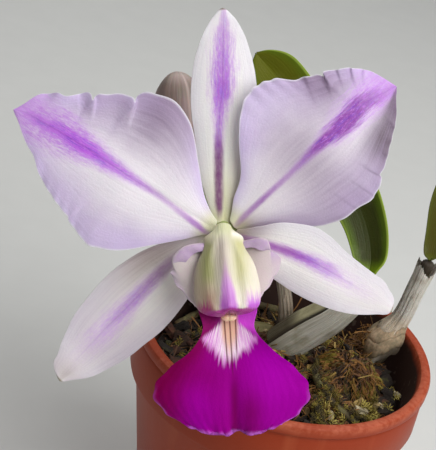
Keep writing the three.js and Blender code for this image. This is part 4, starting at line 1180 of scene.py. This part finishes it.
def makeSheath(name, shape, finish):
    curve = curveThrough(shape["line"])
    radius = along(shape["radii"])
    length = lengthOf(shape["line"])
    sheath = shape["sheath"]
    middle = (sheath["from"] + sheath["to"]) / 2
    half = (sheath["to"] - sheath["from"]) / 2

    def skin(u, v):
        waves = lumps(stack(v * 7, 0, 0), 1)
        fray = 0.022 * waves + 0.01 * lumps(stack(v * 31, 0, 5), 1)
        torn = sheath["reach"] * (1 - sheath["mouth"] * (1 + np.sin(5 * v + 1)) * u) + fray * u**6
        t = sheath["foot"] + (torn - sheath["foot"]) * u
        angle = np.radians(middle + half * v)
        wander = lumps(stack(v * 4, u * 2, 0), 1)
        pleat = 0.05 * radius(t) * (1 + np.cos(12 * angle)) + 0.09 * np.cos(34 * angle + 2 * wander)
        edge = 0.35 * np.abs(v) ** 8 * (1 + lumps(stack(u * 6, v, 0), 1))
        flare = sheath["flare"] * (0.5 * u * u + 0.5 * ease(u, 0.85, 1) * (1 + waves))
        r = ribbed(radius, t, angle) + sheathGap + pleat + edge + flare
        return beside(curve, t, sheath["side"], r * np.cos(angle), r * np.sin(angle))

    thickness = lambda u, v: 0.42 - 0.15 * u
    reach = lambda u, v, middle: stack(u * length, v * half / 10, 0)
    piece = blade("sheath_" + name + "_skin", 70, 160, skin, thickness, reach, rim=0.5)
    settle(piece, finish, ["sheath_" + name], "sheath")


def makeCollar(finish):
    shape = bulbs["right"]
    curve = curveThrough(shape["line"])
    radius = along(shape["radii"])

    def angleAt(v):
        return np.radians(collar["from"] + (collar["to"] - collar["from"]) * (v + 1) / 2)

    def creases(u, angle):
        # 1 along the wavy lines where it is folded in, 0 between them
        wander = lumps(stack(2 * np.cos(angle), 2 * np.sin(angle), 3 * u), 1)
        return (1 - np.abs(np.sin(6 * u + 1.5 * np.cos(angle - 0.4) + 0.8 * wander))) ** 4

    def skin(u, v):
        fray = 0.02 * lumps(stack(v * 12, 0, 0), 1)
        top = 0.02 + 0.41 * (1 - 0.2 * np.cos(2.5 * v + 0.6))
        foot = 0.02 + 0.19 * ease(v, 0.1, 0.9) + fray
        t = foot + (top - foot) * u + fray * u**4
        angle = angleAt(v)
        hug = ease(u, 0.7, 1)
        folds = 0.3 * np.sin(np.pi * np.minimum(u * 1.1, 1)) - 0.3 * creases(u, angle) * (1 - hug)
        ribs = 0.08 * np.cos(9 * angle) + 0.03 * np.cos(27 * angle)
        r = radius(t) * 1.045 + 1.4 - 0.35 * hug + ribs + folds
        return beside(curve, t, shape["sheath"]["side"], r * np.cos(angle), r * np.sin(angle))

    def reach(u, v, middle):
        return stack(u * 12, v * 9, creases(u, angleAt(v)))

    piece = blade("collar_right_skin", 80, 150, skin, lambda u, v: 0.42 - 0.15 * u, reach, rim=0.5)
    settle(piece, finish, ["collar_right"], "sheath")


def collarFinish():
    finish = Finish("sheath_tan", Subsurface_Weight=0.05, Subsurface_Scale=0.001)
    u, v = finish.parts("spot")[:2]
    far, across, creaseShade = finish.parts("reach")
    fibres = finish.noise((far * 0.3, across * 1.2), detail=5, roughness=0.65)
    mottle = finish.grain(230, 6, 0.65)
    skin = fibres.step(0.3, 0.68).blend((160, 137, 109), (194, 167, 135))
    skin = skin.tinted(mottle.step(0.44, 0.64) * 0.7, 116, 108, 82)
    # darker along the creases: painted shade
    skin = skin.tinted((creaseShade + (mottle - 0.5) * 0.8).step(0.35, 1.0) * 0.5, 96, 80, 56)
    skin = skin.tinted((u + (mottle - 0.5) * 0.3).step(0.6, 0.2) * 0.6, 104, 98, 76)
    # the lower part on one side is painted dark brown: painted shade
    paintedCollarShade = (v * 0.6 - u + (mottle - 0.5) * 0.4).step(-0.12, 0.22)
    skin = skin.tinted(paintedCollarShade * 0.85, 46, 35, 26)
    # darker olive brown towards one side
    darkOliveSide = (v + u * 0.35 + (mottle - 0.5) * 1.2).step(-0.1, -0.6)
    skin = skin.tinted(darkOliveSide * 0.8, 58, 50, 28)
    tail = (u + (mottle - 0.5) * 0.1).step(0.24, 0.1) * (v - 0.16).hill(0.24)
    skin = skin.tinted(tail * 0.95, 220, 214, 198)
    ribs = finish.relief(fibres * 0.5 + mottle * 0.5, 0.001, 0.5)
    finish.paint(Base_Color=skin, Normal=ribs, Roughness=0.62 + mottle * 0.25)
    return finish


def bulbFinish():
    finish = Finish("pseudobulb_skin")
    t, aside, front = finish.parts("spot")
    far, across, out = finish.parts("reach")
    streaks = finish.noise((far * 0.06, across * 1.6, out * 1.6), detail=5)
    mottle = finish.grain(160, 4)
    skin = streaks.blend((164, 158, 118), (194, 187, 150))
    skin = skin.tinted(mottle.step(0.5, 0.75) * 0.6, 128, 120, 88)
    skin = skin.tinted(streaks.step(0.35, 0.2) * 0.6, 76, 66, 44)
    # a dark line beside the sheath's edge: painted shadow
    slitShadow = (aside - 0.6 + (streaks - 0.5) * 0.1).hill(0.12) * front.step(0.0, 0.4) * t.step(0.8, 0.6)
    skin = skin.tinted(slitShadow, 40, 34, 20)
    skin = skin.tinted((t + (mottle - 0.5) * 0.04).step(0.89, 0.93) * 0.95, 38, 23, 9)
    # darker towards the foot: painted shade
    skin = skin.tinted((t + (mottle - 0.5) * 0.12).step(0.34, 0.2) * 0.85, 56, 43, 30)
    finish.paint(Base_Color=skin, Normal=finish.relief(streaks, 0.0012, 0.6), Roughness=0.42 + mottle * 0.3)
    return finish


def sheathFinish(name, pale, dark, stain, warmth):
    finish = Finish(name, Subsurface_Weight=0.05, Subsurface_Scale=0.001)
    u = finish.parts("spot")[0]
    far, across = finish.parts("reach")[:2]
    fibres = finish.noise((far * 0.035, across * 2.4), detail=5, roughness=0.65)
    threads = finish.noise((far * 0.05, across * 7, 3), detail=3)
    mottle = finish.grain(190, 5)
    skin = fibres.step(0.3, 0.68).blend(dark, pale)
    skin = skin.tinted(threads.step(0.5, 0.72) * 0.45, 232, 228, 216)
    skin = skin.tinted((mottle + threads * 0.3).step(0.62, 0.86) * 0.6, *stain)
    skin = skin.tinted(u.step(0.55, 0.25) * warmth, 190, 158, 112)
    skin = skin.tinted(u.step(0.14, 0.0) * 0.6, 92, 78, 56)
    ribs = finish.relief(fibres * 0.6 + threads * 0.4, 0.0012, 0.7)
    finish.paint(Base_Color=skin, Normal=ribs, Roughness=0.62 + mottle * 0.25)
    return finish


print("pseudobulbs and sheaths")
sheathLooks = {
    "silver": sheathFinish("sheath_silver", (206, 203, 190), (166, 161, 143), (140, 133, 104), 0),
    "pale": sheathFinish("sheath_pale", (246, 242, 232), (196, 189, 174), (172, 160, 138), 0.5),
    "warm": sheathFinish("sheath_warm", (216, 198, 176), (160, 144, 122), (132, 118, 92), 0),
}
bulbLook = bulbFinish()
for bulbName, bulbShape in bulbs.items():
    makeBulb(bulbName, bulbShape, bulbLook)
    makeSheath(bulbName, bulbShape, sheathLooks[bulbShape["sheath"]["look"]])
makeCollar(collarFinish())


# The rhizome and the roots
rhizomeParts = [
    ([(-21, 18, 65.5), (-13, 21, 65.5), (-2, 22, 65.5), (2, 16, 65.5), (8, 12, 65.2), (19, 13, 64.6),
      (29.5, 17, 65)], [3.0, 3.5, 3.1, 3.6, 3.1, 3.6, 3.1, 3.5, 2.6], 180, 36, (0.02, 0.03)),
    ([(2, 16, 65.5), (-4, 7, 65.5), (-11, -4, 66)], [2.9, 2.6, 2.9], 70, 32, (0.03, 0.05)),
]
roots = {
    "root_front": {
        "main": [(-2, 10, 65.5), (-5, -3, 68.2), (-9, -14, 68.4), (-12, -24, 67.4), (-20, -29, 66)],
        "side": [(-9, -14, 68.4), (-2, -21, 68), (4, -29, 66.4)],
        "radii": [1.5, 1.4, 1.3, 1.1],
    },
    "root_right": {
        "main": [(15, 12, 67.6), (11, 1, 70.4), (15, -9, 69.8), (24, -16, 68), (30, -15, 66)],
        "side": [(15, -9, 69.8), (13, -18, 68.6), (17, -28, 66.2)],
        "radii": [1.2, 1.2, 1.1, 0.9],
    },
    "root_back": {
        "main": [(-16, 20, 65.5), (-20, 28, 67.6), (-11, 34, 67.8), (1, 35, 66.8), (12, 34, 65.4)],
        "side": [(-20, 28, 67.6), (-26.5, 22, 67), (-33, 14, 65.6)],
        "radii": [1.5, 1.4, 1.2, 1.0],
    },
}


def makeRhizome(finish):
    scales = lambda t, angle: 0.22 * ((t * 14) % 1) - 0.1 + 0.1 * np.cos(7 * angle + 20 * t)
    pieces = branches((0, 0, 1), scales, rhizomeParts)
    settle(joinedPieces("rhizome_body", pieces), finish, ["rhizome"], "rhizome")


def makeRoot(name, shape, finish):
    relief = lambda t, angle: 0.1 * np.sin(30 * t) + 0.07 * np.cos(3 * angle + 17 * t)
    main = (shape["main"], shape["radii"], 90, 16, (0.01, 0.02))
    side = (shape["side"], shape["radii"][1:], 50, 14, (0.02, 0.04))
    pieces = branches((1, 0.2, 0.1), relief, [main, side])
    settle(joinedPieces(name + "_skin", pieces), finish, [name], "root")


def rootFinish():
    finish = Finish("root_skin", Roughness=0.8)
    t = finish.parts("spot")[0]
    mottle = finish.grain(300, 5)
    fine = finish.grain(1400, 3)
    skin = mottle.step(0.35, 0.65).blend((72, 60, 38), (108, 94, 60))
    skin = skin.tinted((mottle + fine * 0.4).step(0.62, 0.9) * 0.5, 104, 112, 62)
    skin = skin.tinted(t.step(0.93, 1.0) * 0.7, 96, 74, 42)
    finish.paint(Base_Color=skin, Normal=finish.relief(mottle * 0.5 + fine * 0.5, 0.0008, 0.6))
    return finish


def rhizomeFinish():
    finish = Finish("rhizome_skin", Roughness=0.65)
    far, across, out = finish.parts("reach")
    mottle = finish.grain(240, 5)
    rings = finish.noise((far * 0.9, across * 0.2, out * 0.2), detail=4)
    skin = rings.blend((92, 84, 46), (134, 124, 74))
    skin = skin.tinted(mottle.step(0.5, 0.75) * 0.7, 82, 62, 40)
    finish.paint(Base_Color=skin, Normal=finish.relief(rings * 0.5 + mottle * 0.5, 0.0012, 0.7))
    return finish


print("rhizome and roots")
makeRhizome(rhizomeFinish())
rootLook = rootFinish()
for rootName, rootShape in roots.items():
    makeRoot(rootName, rootShape, rootLook)


# The pot, made by drawing one round face up and in, ring by ring
pot = {
    "height": 80,
    "baseRadius": 29,
    "neckRadius": 41.9,
    "bandFoot": 62.7,
    "sides": 160,
    "outside": [(43.6, 63.2), (43.9, 64.2), (43.7, 75.2), (43.3, 75.9), (43.4, 76.4), (44.3, 77.0),
                (44.4, 78.9), (44.0, 79.7), (43.2, 80.0), (42.0, 80.0), (41.4, 79.7), (41.1, 79.0)],
    "insideFoot": (25.47, 4),
    "drainHoles": 6,
    "drainRadius": 1.8,
    "drainCircle": 19,
}


def selectFaces(piece, rule):
    for polygon in piece.data.polygons:
        polygon.select = rule(polygon)
    for edge in piece.data.edges:
        edge.select = False
    for vertex in piece.data.vertices:
        vertex.select = False


def drawnIn(rings, start):
    # each ring is drawn out of the selected face: moved to its height, then widened or narrowed
    radius, height = start
    for nextRadius, nextHeight in rings:
        move = {"value": (0, 0, (nextHeight - height) * mm)}
        bpy.ops.mesh.extrude_region_move(TRANSFORM_OT_translate=move)
        share = nextRadius / radius
        bpy.ops.transform.resize(value=(share, share, 1), center_override=(0, 0, nextHeight * mm))
        radius, height = nextRadius, nextHeight


def makePot(finish):
    depth = pot["bandFoot"] * mm
    radii = {"radius1": pot["baseRadius"] * mm, "radius2": pot["neckRadius"] * mm}
    bpy.ops.mesh.primitive_cone_add(vertices=pot["sides"], depth=depth, location=(0, 0, depth / 2), **radii)
    body = bpy.context.object
    body.name = "pot_body"
    bpy.ops.object.transform_apply(location=True)
    selectFaces(body, lambda polygon: polygon.normal.z > 0.9)
    bpy.ops.object.mode_set(mode="EDIT")
    bpy.ops.mesh.select_mode(type="FACE")
    drawnIn(pot["outside"] + [pot["insideFoot"]], (pot["neckRadius"], pot["bandFoot"]))
    bpy.ops.object.mode_set(mode="OBJECT")
    for k in range(pot["drainHoles"]):
        angle = 2 * math.pi * k / pot["drainHoles"]
        x = pot["drainCircle"] * math.cos(angle) * mm
        y = pot["drainCircle"] * math.sin(angle) * mm
        spot = (x, y, 2 * mm)
        radius = pot["drainRadius"] * mm
        bpy.ops.mesh.primitive_cylinder_add(vertices=24, radius=radius, depth=0.02, location=spot)
        drill = bpy.context.object
        cut = body.modifiers.new("drain", "BOOLEAN")
        cut.object = drill
        cut.operation = "DIFFERENCE"
        bpy.context.view_layer.objects.active = body
        bpy.ops.object.modifier_apply(modifier=cut.name)
        bpy.data.objects.remove(drill)
    selectOnly(body)
    bevel(body, 0.35 * mm, 3, 38)
    bpy.ops.object.shade_smooth_by_angle(angle=math.radians(40))
    settle(body, finish, ["pot"], "pot")


def potFinish():
    finish = Finish("pot_plastic", Specular_IOR_Level=0.22)
    x, y, z = finish.split(finish.place())
    radius = finish.maths("SQRT", x * x + y * y)
    cloud = finish.grain(28, 6)
    grain = finish.grain(700, 3)
    streaks = finish.drawnOut((90, 90, 9), 4)
    clay = cloud.blend((158, 62, 28), (138, 46, 20))
    clay = clay.tinted(streaks.step(0.55, 0.75) * 0.35, 176, 88, 54)
    # the inner wall is painted dark brown: painted shade, with some grime
    inner = radius.step(0.0418, 0.0410) * z.step(0.0798, 0.0785) * z.step(0.0625, 0.064)
    grimeAndShade = (z + (cloud - 0.5) * 0.01).step(0.0798, 0.0765)
    clay = clay.tinted(inner * grimeAndShade, 50, 32, 26)
    specks = finish.grain(380, 2).step(0.62, 0.7)
    clay = clay.tinted(inner * specks * 0.35, 112, 98, 86)
    # the rim's top is painted lighter: scuffed wear and a painted highlight
    lip = z.step(0.0770, 0.0795)
    scuffsAndHighlight = (cloud + grain * 0.5).step(0.68, 0.9)
    clay = clay.tinted(lip * (0.05 + scuffsAndHighlight * 0.35), 204, 118, 88)
    lime = (cloud + streaks * 0.5).step(0.72, 0.98) * z.step(0.05, 0.0)
    clay = clay.tinted(lime * 0.45, 212, 190, 172)
    dent = finish.relief(grain * 0.3 + cloud, 0.0005, 0.25)
    finish.paint(Base_Color=clay, Normal=dent, Roughness=0.38 + streaks * 0.16 + inner * 0.25)
    return finish


print("pot")
makePot(potFinish())


# The bark filling: its top, chips on it, and moss and fibre between them
mix = {
    "level": 65,
    "moundHeight": 6.5,
    "moundCentre": (12, 6),
    "moundRadius": 17,
    "roughness": 1.1,
    "bottom": 4.3,
    "clumpCentre": (21, 2),
    "chips": 420,
    "chipsReach": 37.2,
    "fibres": 2600,
    "mossTufts": 560,
    "sprigs": 110,
    # where the loose fibres and the tufts lie thickest, and how far out they may lie
    "fibrePatch": {"centre": (20, -2), "spread": (8.5, 8.5), "edge": 35.5},
    "tuftPatch": {"centre": (19, -4), "spread": (8, 8.5), "edge": 34.5},
    "tangle": {"centre": (25.8, 19), "spread": (4.0, 3.2), "height": 12, "count": 380},
    # a mop of moss whose strands hang outwards, with a bare ring round it
    "mop": {"centre": (21.8, 3.5), "reach": (11, 12), "edge": 36, "height": 4.5, "brown": 820,
            "green": 420},
    # chips put down one by one: x, y, half the length, tone
    "laid": [(36.0, 2.6, 2.4, 0.99), (32.6, -4.6, 2.4, 0.97), (17.5, -17.4, 2.6, 0.98),
             (25.5, -7.4, 2.8, 0.9), (-4.2, 19.2, 4.2, 0.62), (-28.8, 6.1, 3.4, 0.5),
             (13.5, -21, 2.4, 0.92), (30, 9.5, 3.2, 0.5)],
    "barkShades": [(0, 26, 17, 10), (0.35, 54, 34, 20), (0.6, 96, 54, 32), (0.8, 132, 100, 54),
                   (0.93, 190, 162, 104), (1, 228, 214, 178)],
    "fibreShades": [(0, 28, 16, 8), (0.3, 76, 46, 18), (0.55, 130, 88, 36), (0.75, 128, 100, 36),
                    (1, 214, 184, 106)],
    "mossShades": [(0, 26, 22, 6), (0.35, 72, 60, 16), (0.7, 132, 116, 34), (1, 206, 190, 100)],
}
potTaper = (pot["neckRadius"] - pot["baseRadius"]) / pot["bandFoot"]


def potInside(z):
    rim = pot["outside"][-1][0]
    return rim - potTaper * (pot["height"] - z)


def mixHeight(x, y):
    mx, my = mix["moundCentre"]
    mound = mix["moundHeight"] * np.exp(-((x - mx) ** 2 + (y - my) ** 2) / (2 * mix["moundRadius"] ** 2))
    rough = np.sin(x * 0.71 + 1.3) * np.cos(y * 0.63) + 0.6 * np.sin(x * 1.7 - y * 1.3)
    cx, cy = mix["clumpCentre"]
    tufts = 1.4 + 3.2 * lumps(stack(x, y, 0), 5) + lumps(stack(x, y, 4), 2.2)
    clump = np.exp(-((x - cx) ** 2 + (y - cy) ** 2) / 140) * tufts
    return mix["level"] + mound * 0.6 + mix["roughness"] * rough + clump


def groundAt(x, y):
    return float(mixHeight(np.array([x]), np.array([y]))[0])


def clumpAt(x, y):
    # above 0 in a clump of moss, below 0 between the clumps
    return float(lumps(np.array([[x, y, 0]]), 5)[0])


def clumpShadedTone(x, y):
    # lighter on the clumps and darker between them: painted shade in the hollows
    return 0.48 + 0.95 * clumpAt(x, y)


def placeIn(patch, k):
    # every fourth one lies anywhere
    if k % 4:
        return random.normal(patch["centre"], patch["spread"])
    r = (patch["edge"] + 0.5) * math.sqrt(random.rand())
    angle = random.rand() * 6.3
    return r * math.cos(angle), r * math.sin(angle)


def isBareRing(x, y, edge, share):
    # little else grows in the mop and round it
    return acrossMop(x, y) < edge and random.rand() < share


def shadeAt(x):
    # what lies on the left is painted darker: painted shade
    return 0.5 if x < -8 else 1.0


def makeMixBed(finish):
    edge = potInside(mix["level"]) - 0.7
    foot = potInside(mix["bottom"]) - 0.4

    def place(rowShare, aroundShare):
        # the rows run out over the top, down the wall and back to the middle of the foot
        angle = 2 * np.pi * aroundShare
        out = np.clip(rowShare / 0.8, 0, 1)
        down = np.clip((rowShare - 0.8) / 0.1, 0, 1)
        back = np.clip((rowShare - 0.9) / 0.1, 0, 1)
        r = edge * out + (foot - edge) * down - foot * back
        x, y = r * np.cos(angle), r * np.sin(angle)
        flat = stack(x, y, 0)
        crumbs = 0.9 * lumps(flat, 3.1) + 0.5 * lumps(flat + 9, 1.4)
        top = mixHeight(x, y) * (1 - out**8) + mix["level"] * out**8 + crumbs - 0.9
        z = np.where(rowShare <= 0.8, top, 0)
        z = np.where(rowShare > 0.8, (mix["level"] - 0.9) * (1 - down) + mix["bottom"] * down, z)
        return stack(x, y, z), {"tone": stack(0.16 + 0.14 * lumps(flat, 5), 0, 0)}

    settle(shapedGrid("bark_bed", 150, 200, place), finish, ["potting_mix"], "potting_mix")


def chipModels():
    models = []
    for k in range(5):
        bpy.ops.mesh.primitive_cube_add(size=1)
        chip = bpy.context.object
        bpy.ops.object.mode_set(mode="EDIT")
        bpy.ops.mesh.subdivide(number_cuts=2)
        bpy.ops.object.mode_set(mode="OBJECT")
        bevel(chip, 0.08, 1, 30)
        points, faces = meshOf(chip)
        points = points * mm  # modelled at size 1, scaled where it is placed
        points += 0.16 * stack(*(lumps(points + 3 * k + shift, 0.45) for shift in (0, 11, 23)))
        points[:, 0] += 0.12 * points[:, 1] * (k - 2)
        models.append((points, faces))
    return models


def makeChips(finish):
    spots = []
    models = chipModels()
    goldenAngle = 2.39996  # it spreads them evenly over the top
    for k in range(mix["chips"]):
        angle = k * goldenAngle
        r = mix["chipsReach"] * math.sqrt((k + 0.5) / mix["chips"])
        x = r * math.cos(angle) + random.normal(0, 0.8)
        y = r * math.sin(angle) + random.normal(0, 0.8)
        reach = math.hypot(x, y)
        big = random.rand() ** 2
        size = np.diag([2.2 + 5.0 * big, 1.5 + 2.6 * big, 0.9 + 1.3 * big])
        inside = potInside(mix["level"])
        if reach + size[0, 0] * 0.5 > inside - 0.5:
            shrink = (inside - 0.6 - size[0, 0] * 0.5) / reach
            x, y = x * shrink, y * shrink
        turn = tumbled("X", 0.4)
        turn = turn @ turned("Y", random.normal(0, 0.35))
        z = groundAt(x, y) - 0.5 + 0.8 * random.rand()
        tone = random.rand() ** 1.3
        spots.append((k % 5, turn @ size, (x, y, z), (tone * shadeAt(x), random.rand(), big)))
    for k, (x, y, half, tone) in enumerate(mix["laid"]):
        turn = turned("Z", 2.4 * k) @ turned("X", 0.3 - 0.2 * (k % 3))
        size = np.diag([half * 1.6, half * 0.7, half * 0.35])
        spots.append((k % 5, turn @ size, (x, y, groundAt(x, y) + 1.2), (tone, 0.5, 1)))
    settle(scattered("bark_chips", models, spots), finish, ["potting_mix"], "potting_mix")


def strandModel(points, radius, sides=3):
    # a thin strand through a few points, closed at both ends
    curve = curveThrough(points)
    t = np.linspace(0, 1, len(points) * 2)
    thin = radius * (1 - 0.6 * t)
    vertices = []
    for k in range(sides):
        angle = 2 * math.pi * k / sides
        vertices.append(beside(curve, t, (0.3, 0.2, 1), thin * math.cos(angle), thin * math.sin(angle)))
    rings = len(t)
    vertices = np.stack(vertices, axis=1).reshape(-1, 3)
    last = (rings - 1) * sides
    faces = []
    for ring in range(0, last, sides):
        for j in range(sides):
            after = (j + 1) % sides
            faces.append((ring + j, ring + after, ring + sides + after, ring + sides + j))
    faces += [tuple(reversed(range(sides))), tuple(range(last, last + sides))]
    return vertices, faces


def acrossMop(x, y):
    # how far out in the mop a place is: 1 at its edge
    (mx, my), (rx, ry) = mix["mop"]["centre"], mix["mop"]["reach"]
    return math.hypot((x - mx) / rx, (y - my) / ry)


def mopStrand(k):
    # it runs out along x and hangs down at its far end
    sway = 0.12 * math.sin(2.4 * k + 1)
    return strandModel([(-0.5, 0, -0.1), (-0.2, sway, 0.04), (0.15, -sway, 0.05), (0.5, sway, -0.24)], 0.06)


def mopSpots(first, count, inner, darkest, lightest):
    spots = []
    (mx, my), (rx, ry) = mix["mop"]["centre"], mix["mop"]["reach"]
    for k in range(count):
        out = inner + (1 - inner) * math.sqrt(random.rand())
        way = 6.3 * random.rand()
        x, y = mx + rx * out * math.cos(way), my + ry * out * math.sin(way)
        if math.hypot(x, y) > mix["mop"]["edge"]:
            continue
        # the strands lie in locks; high ones are painted light and low ones dark: painted shade in the hollows
        lock = 0.5 + 0.9 * lumps(np.array([[x, y, 2 * way]]), 2.6)[0]
        turn = turned("Z", way + random.normal(0, 0.45))
        turn = turn @ turned("Y", 0.15 + 0.6 * out + random.normal(0, 0.25))
        crown = mix["mop"]["height"] * (1 - out * out) * (0.8 + 0.2 * random.rand())
        z = groundAt(x, y) + crown + 0.9 * lock
        tone = darkest + (lightest - darkest) * min(max(lock, 0), 1)
        size = 2.6 + 3.2 * random.rand()
        spots.append((first + k % 4, turn * size, (x, y, z), (tone, random.rand(), 0.5)))
    return spots


def makeFibres(finish):
    models = []
    for k in range(8):
        bend = random.normal(0, 1, (4, 3)) * (0.2, 0.24, 0.12)
        line = [(-0.5, 0, 0), (-0.2, 0.1, 0.06), (0.15, -0.06, 0.04), (0.5, 0, -0.04)]
        models.append(strandModel(np.array(line) + bend, 0.036))
    spots = []
    patch = mix["fibrePatch"]
    for k in range(mix["fibres"]):
        x, y = placeIn(patch, k)
        if math.hypot(x, y) > patch["edge"] or clumpAt(x, y) < 0.5 * random.rand() - 0.5:
            continue
        if isBareRing(x, y, 1.25, 0.88):
            continue
        long = 2.6 + 5 * random.rand()
        turn = tumbled("Y", 0.4)
        turn = turn @ turned("X", random.rand() * 3)
        z = groundAt(x, y) + 0.9 * random.rand()
        tone = (0.45 * random.rand() + 0.55 * clumpShadedTone(x, y)) * shadeAt(x)
        spots.append((k % 8, turn * long, (x, y, z), (tone, random.rand(), 0.5 + 0.5 * random.rand())))
    tangle = mix["tangle"]
    for k in range(tangle["count"]):
        x, y = random.normal(tangle["centre"], tangle["spread"])
        if math.hypot(x, y) > patch["edge"]:
            continue
        near = math.exp(-(math.dist((x, y), tangle["centre"]) ** 2) / 30)
        z = groundAt(x, y) + tangle["height"] * near * random.rand()
        turn = tumbled("Y", 0.7)
        tone = (0.2 + 0.5 * random.rand(), random.rand(), 0.5)
        spots.append((k % 8, turn * (3 + 3 * random.rand()), (x, y, z), tone))
    models += [mopStrand(k) for k in range(4)]
    spots += mopSpots(8, mix["mop"]["brown"], 0, 0.0, 0.85)
    settle(scattered("moss_fibres", models, spots), finish, ["potting_mix"], "potting_mix")


def makeMoss(finish):
    # a tuft is a short stem with small leaves standing off it all round
    models = []
    for k in range(4):
        stem = [(0, 0, -0.3), (0.05, 0, 0.2), (0.1, 0.05, 0.6), (0.2, 0.1, 1.0)]
        vertices, faces = strandModel(stem, 0.05)
        points = [vertices]
        count = len(vertices)
        for j in range(14):
            up = 0.15 + 0.8 * j / 14
            way = j * 2.4 + k
            tip = np.array([math.cos(way) * 0.42, math.sin(way) * 0.42, up + 0.28])
            foot = np.array([0.2 * up * up, 0.1 * up * up, up])
            side = np.array([-math.sin(way), math.cos(way), 0]) * 0.085
            middle = (foot + tip * (1, 1, 0.8) + foot * (0, 0, 0.2)) / 2
            points.append(np.array([foot, middle + side, tip, middle - side, middle + (0, 0, 0.07)]))
            faces += [(count + i, count + (i + 1) % 4, count + 4) for i in range(4)]
            faces.append((count, count + 3, count + 2, count + 1))
            count += 5
        models.append((np.concatenate(points), faces))
    spots = []
    patch = mix["tuftPatch"]
    for k in range(mix["mossTufts"]):
        x, y = placeIn(patch, k)
        if math.hypot(x, y) > patch["edge"] or clumpAt(x, y) < 0 or isBareRing(x, y, 1.2, 0.85):
            continue
        size = 1.6 + 1.8 * random.rand()
        turn = tumbled("X", 0.6)
        z = groundAt(x, y) - 0.2
        tone = 0.4 * random.rand() + 0.6 * clumpShadedTone(x, y)
        spots.append((k % 4, turn * size, (x, y, z), (tone, random.rand(), 0.4)))
    # pale sprigs lie along the front edge
    for k in range(mix["sprigs"]):
        angle = math.radians(-82 + 88 * random.rand())
        r = 35.5 - 9 * random.rand() ** 1.5
        x, y = r * math.cos(angle), r * math.sin(angle)
        turn = tumbled("X", 1.0)
        size = 2 + 1.4 * random.rand()
        spots.append((k % 4, turn * size, (x, y, groundAt(x, y)), (0.5 + 0.5 * random.rand(), 0.5, 0.4)))
    models += [mopStrand(k + 4) for k in range(4)]
    spots += mopSpots(4, mix["mop"]["green"], 0.45, 0.1, 0.8)
    # tufts grow over the root that lies in the clump
    for line in (roots["root_right"]["main"], roots["root_right"]["side"]):
        curve = curveThrough(line)
        for x, y, z in curve(random.rand(90)):
            turn = tumbled("X", 0.7)
            place = np.array([x, y, z + 0.7]) + random.normal(0, 0.7, 3) * (1, 1, 0.3)
            spots.append((0, turn * (1.5 + 1.2 * random.rand()), place, (0.8 * random.rand(), 0.5, 0.4)))
    settle(scattered("moss_tufts", models, spots), finish, ["potting_mix"], "potting_mix")


def barkFinish():
    finish = Finish("bark", Roughness=0.9)
    tone = finish.parts("tone")[0]
    grain = finish.drawnOut((380, 380, 900), 5)
    wide = finish.grain(260, 4)
    skin = tone.shades(mix["barkShades"])
    skin = skin.tinted(grain.step(0.35, 0.6) * 0.6, 30, 22, 15)
    skin = skin.tinted(wide.step(0.55, 0.75) * 0.35, 96, 98, 44)
    finish.paint(Base_Color=skin, Normal=finish.relief(grain * 0.6 + wide * 0.4, 0.001, 0.9))
    return finish


def strandFinish(name, shades):
    finish = Finish(name, Roughness=0.8, Sheen_Weight=0.1)
    tone = finish.parts("tone")[0]
    wide = finish.grain(420, 3)
    skin = (tone * 0.75 + wide * 0.3).shades(shades)
    finish.paint(Base_Color=skin, Normal=finish.relief(wide, 0.0004, 0.4))
    return finish


print("bark, moss and fibre")
barkLook = barkFinish()
makeMixBed(barkLook)
makeChips(barkLook)
makeFibres(strandFinish("fibre", mix["fibreShades"]))
makeMoss(strandFinish("moss", mix["mossShades"]))


# The studio: a pale floor, soft lights and the camera
studio = {
    "cameraPlace": (-27.8, -379.0, 312.9),
    "lens": 120,
    "key": {"place": (400, -360, 620), "size": 0.8, "power": 6.2},
    "fill": {"place": (-520, -520, 520), "size": 0.8, "power": 0.22},
    "top": {"place": (0, 260, 760), "size": 0.9, "power": 2.95},
    "floorSize": 6,
    "air": {"tint": (0.92, 0.95, 1.0, 1), "strength": 0.18},
}


def makeStudio():
    bpy.ops.mesh.primitive_plane_add(size=studio["floorSize"])
    floor = bpy.context.object
    floor.name = "studio_floor"
    finish = Finish("floor_paper", Roughness=0.9)
    grain = finish.grain(60, 3)
    finish.paint(Base_Color=grain.blend((206, 206, 202), (212, 212, 208)))
    floor.data.materials.append(finish.material)
    for name in ("key", "fill", "top"):
        look = studio[name]
        bpy.ops.object.light_add(type="AREA", location=np.array(look["place"]) * mm)
        light = bpy.context.object
        light.name = "studio_" + name
        light.data.shape = "DISK"
        light.data.size = look["size"]
        light.data.energy = look["power"]
        light.rotation_euler = (Vector((0, 0, 0.1)) - light.location).to_track_quat("-Z", "Y").to_euler()
    world = bpy.data.worlds.new("studio_air")
    bpy.context.scene.world = world
    world.use_nodes = True
    background = world.node_tree.nodes["Background"]
    background.inputs["Color"].default_value = studio["air"]["tint"]
    background.inputs["Strength"].default_value = studio["air"]["strength"]


def makeCamera():
    bpy.ops.object.camera_add(location=np.array(studio["cameraPlace"]) * mm)
    camera = bpy.context.object
    camera.name = "studio_camera"
    camera.data.lens = studio["lens"]
    camera.data.sensor_width = 36
    camera.data.clip_start = 0.01
    camera.rotation_euler = Matrix(bloomTurn.tolist()).to_euler()
    bpy.context.scene.camera = camera


print("studio")
makeStudio()
makeCamera()
bpy.context.scene.view_settings.view_transform = "Standard"
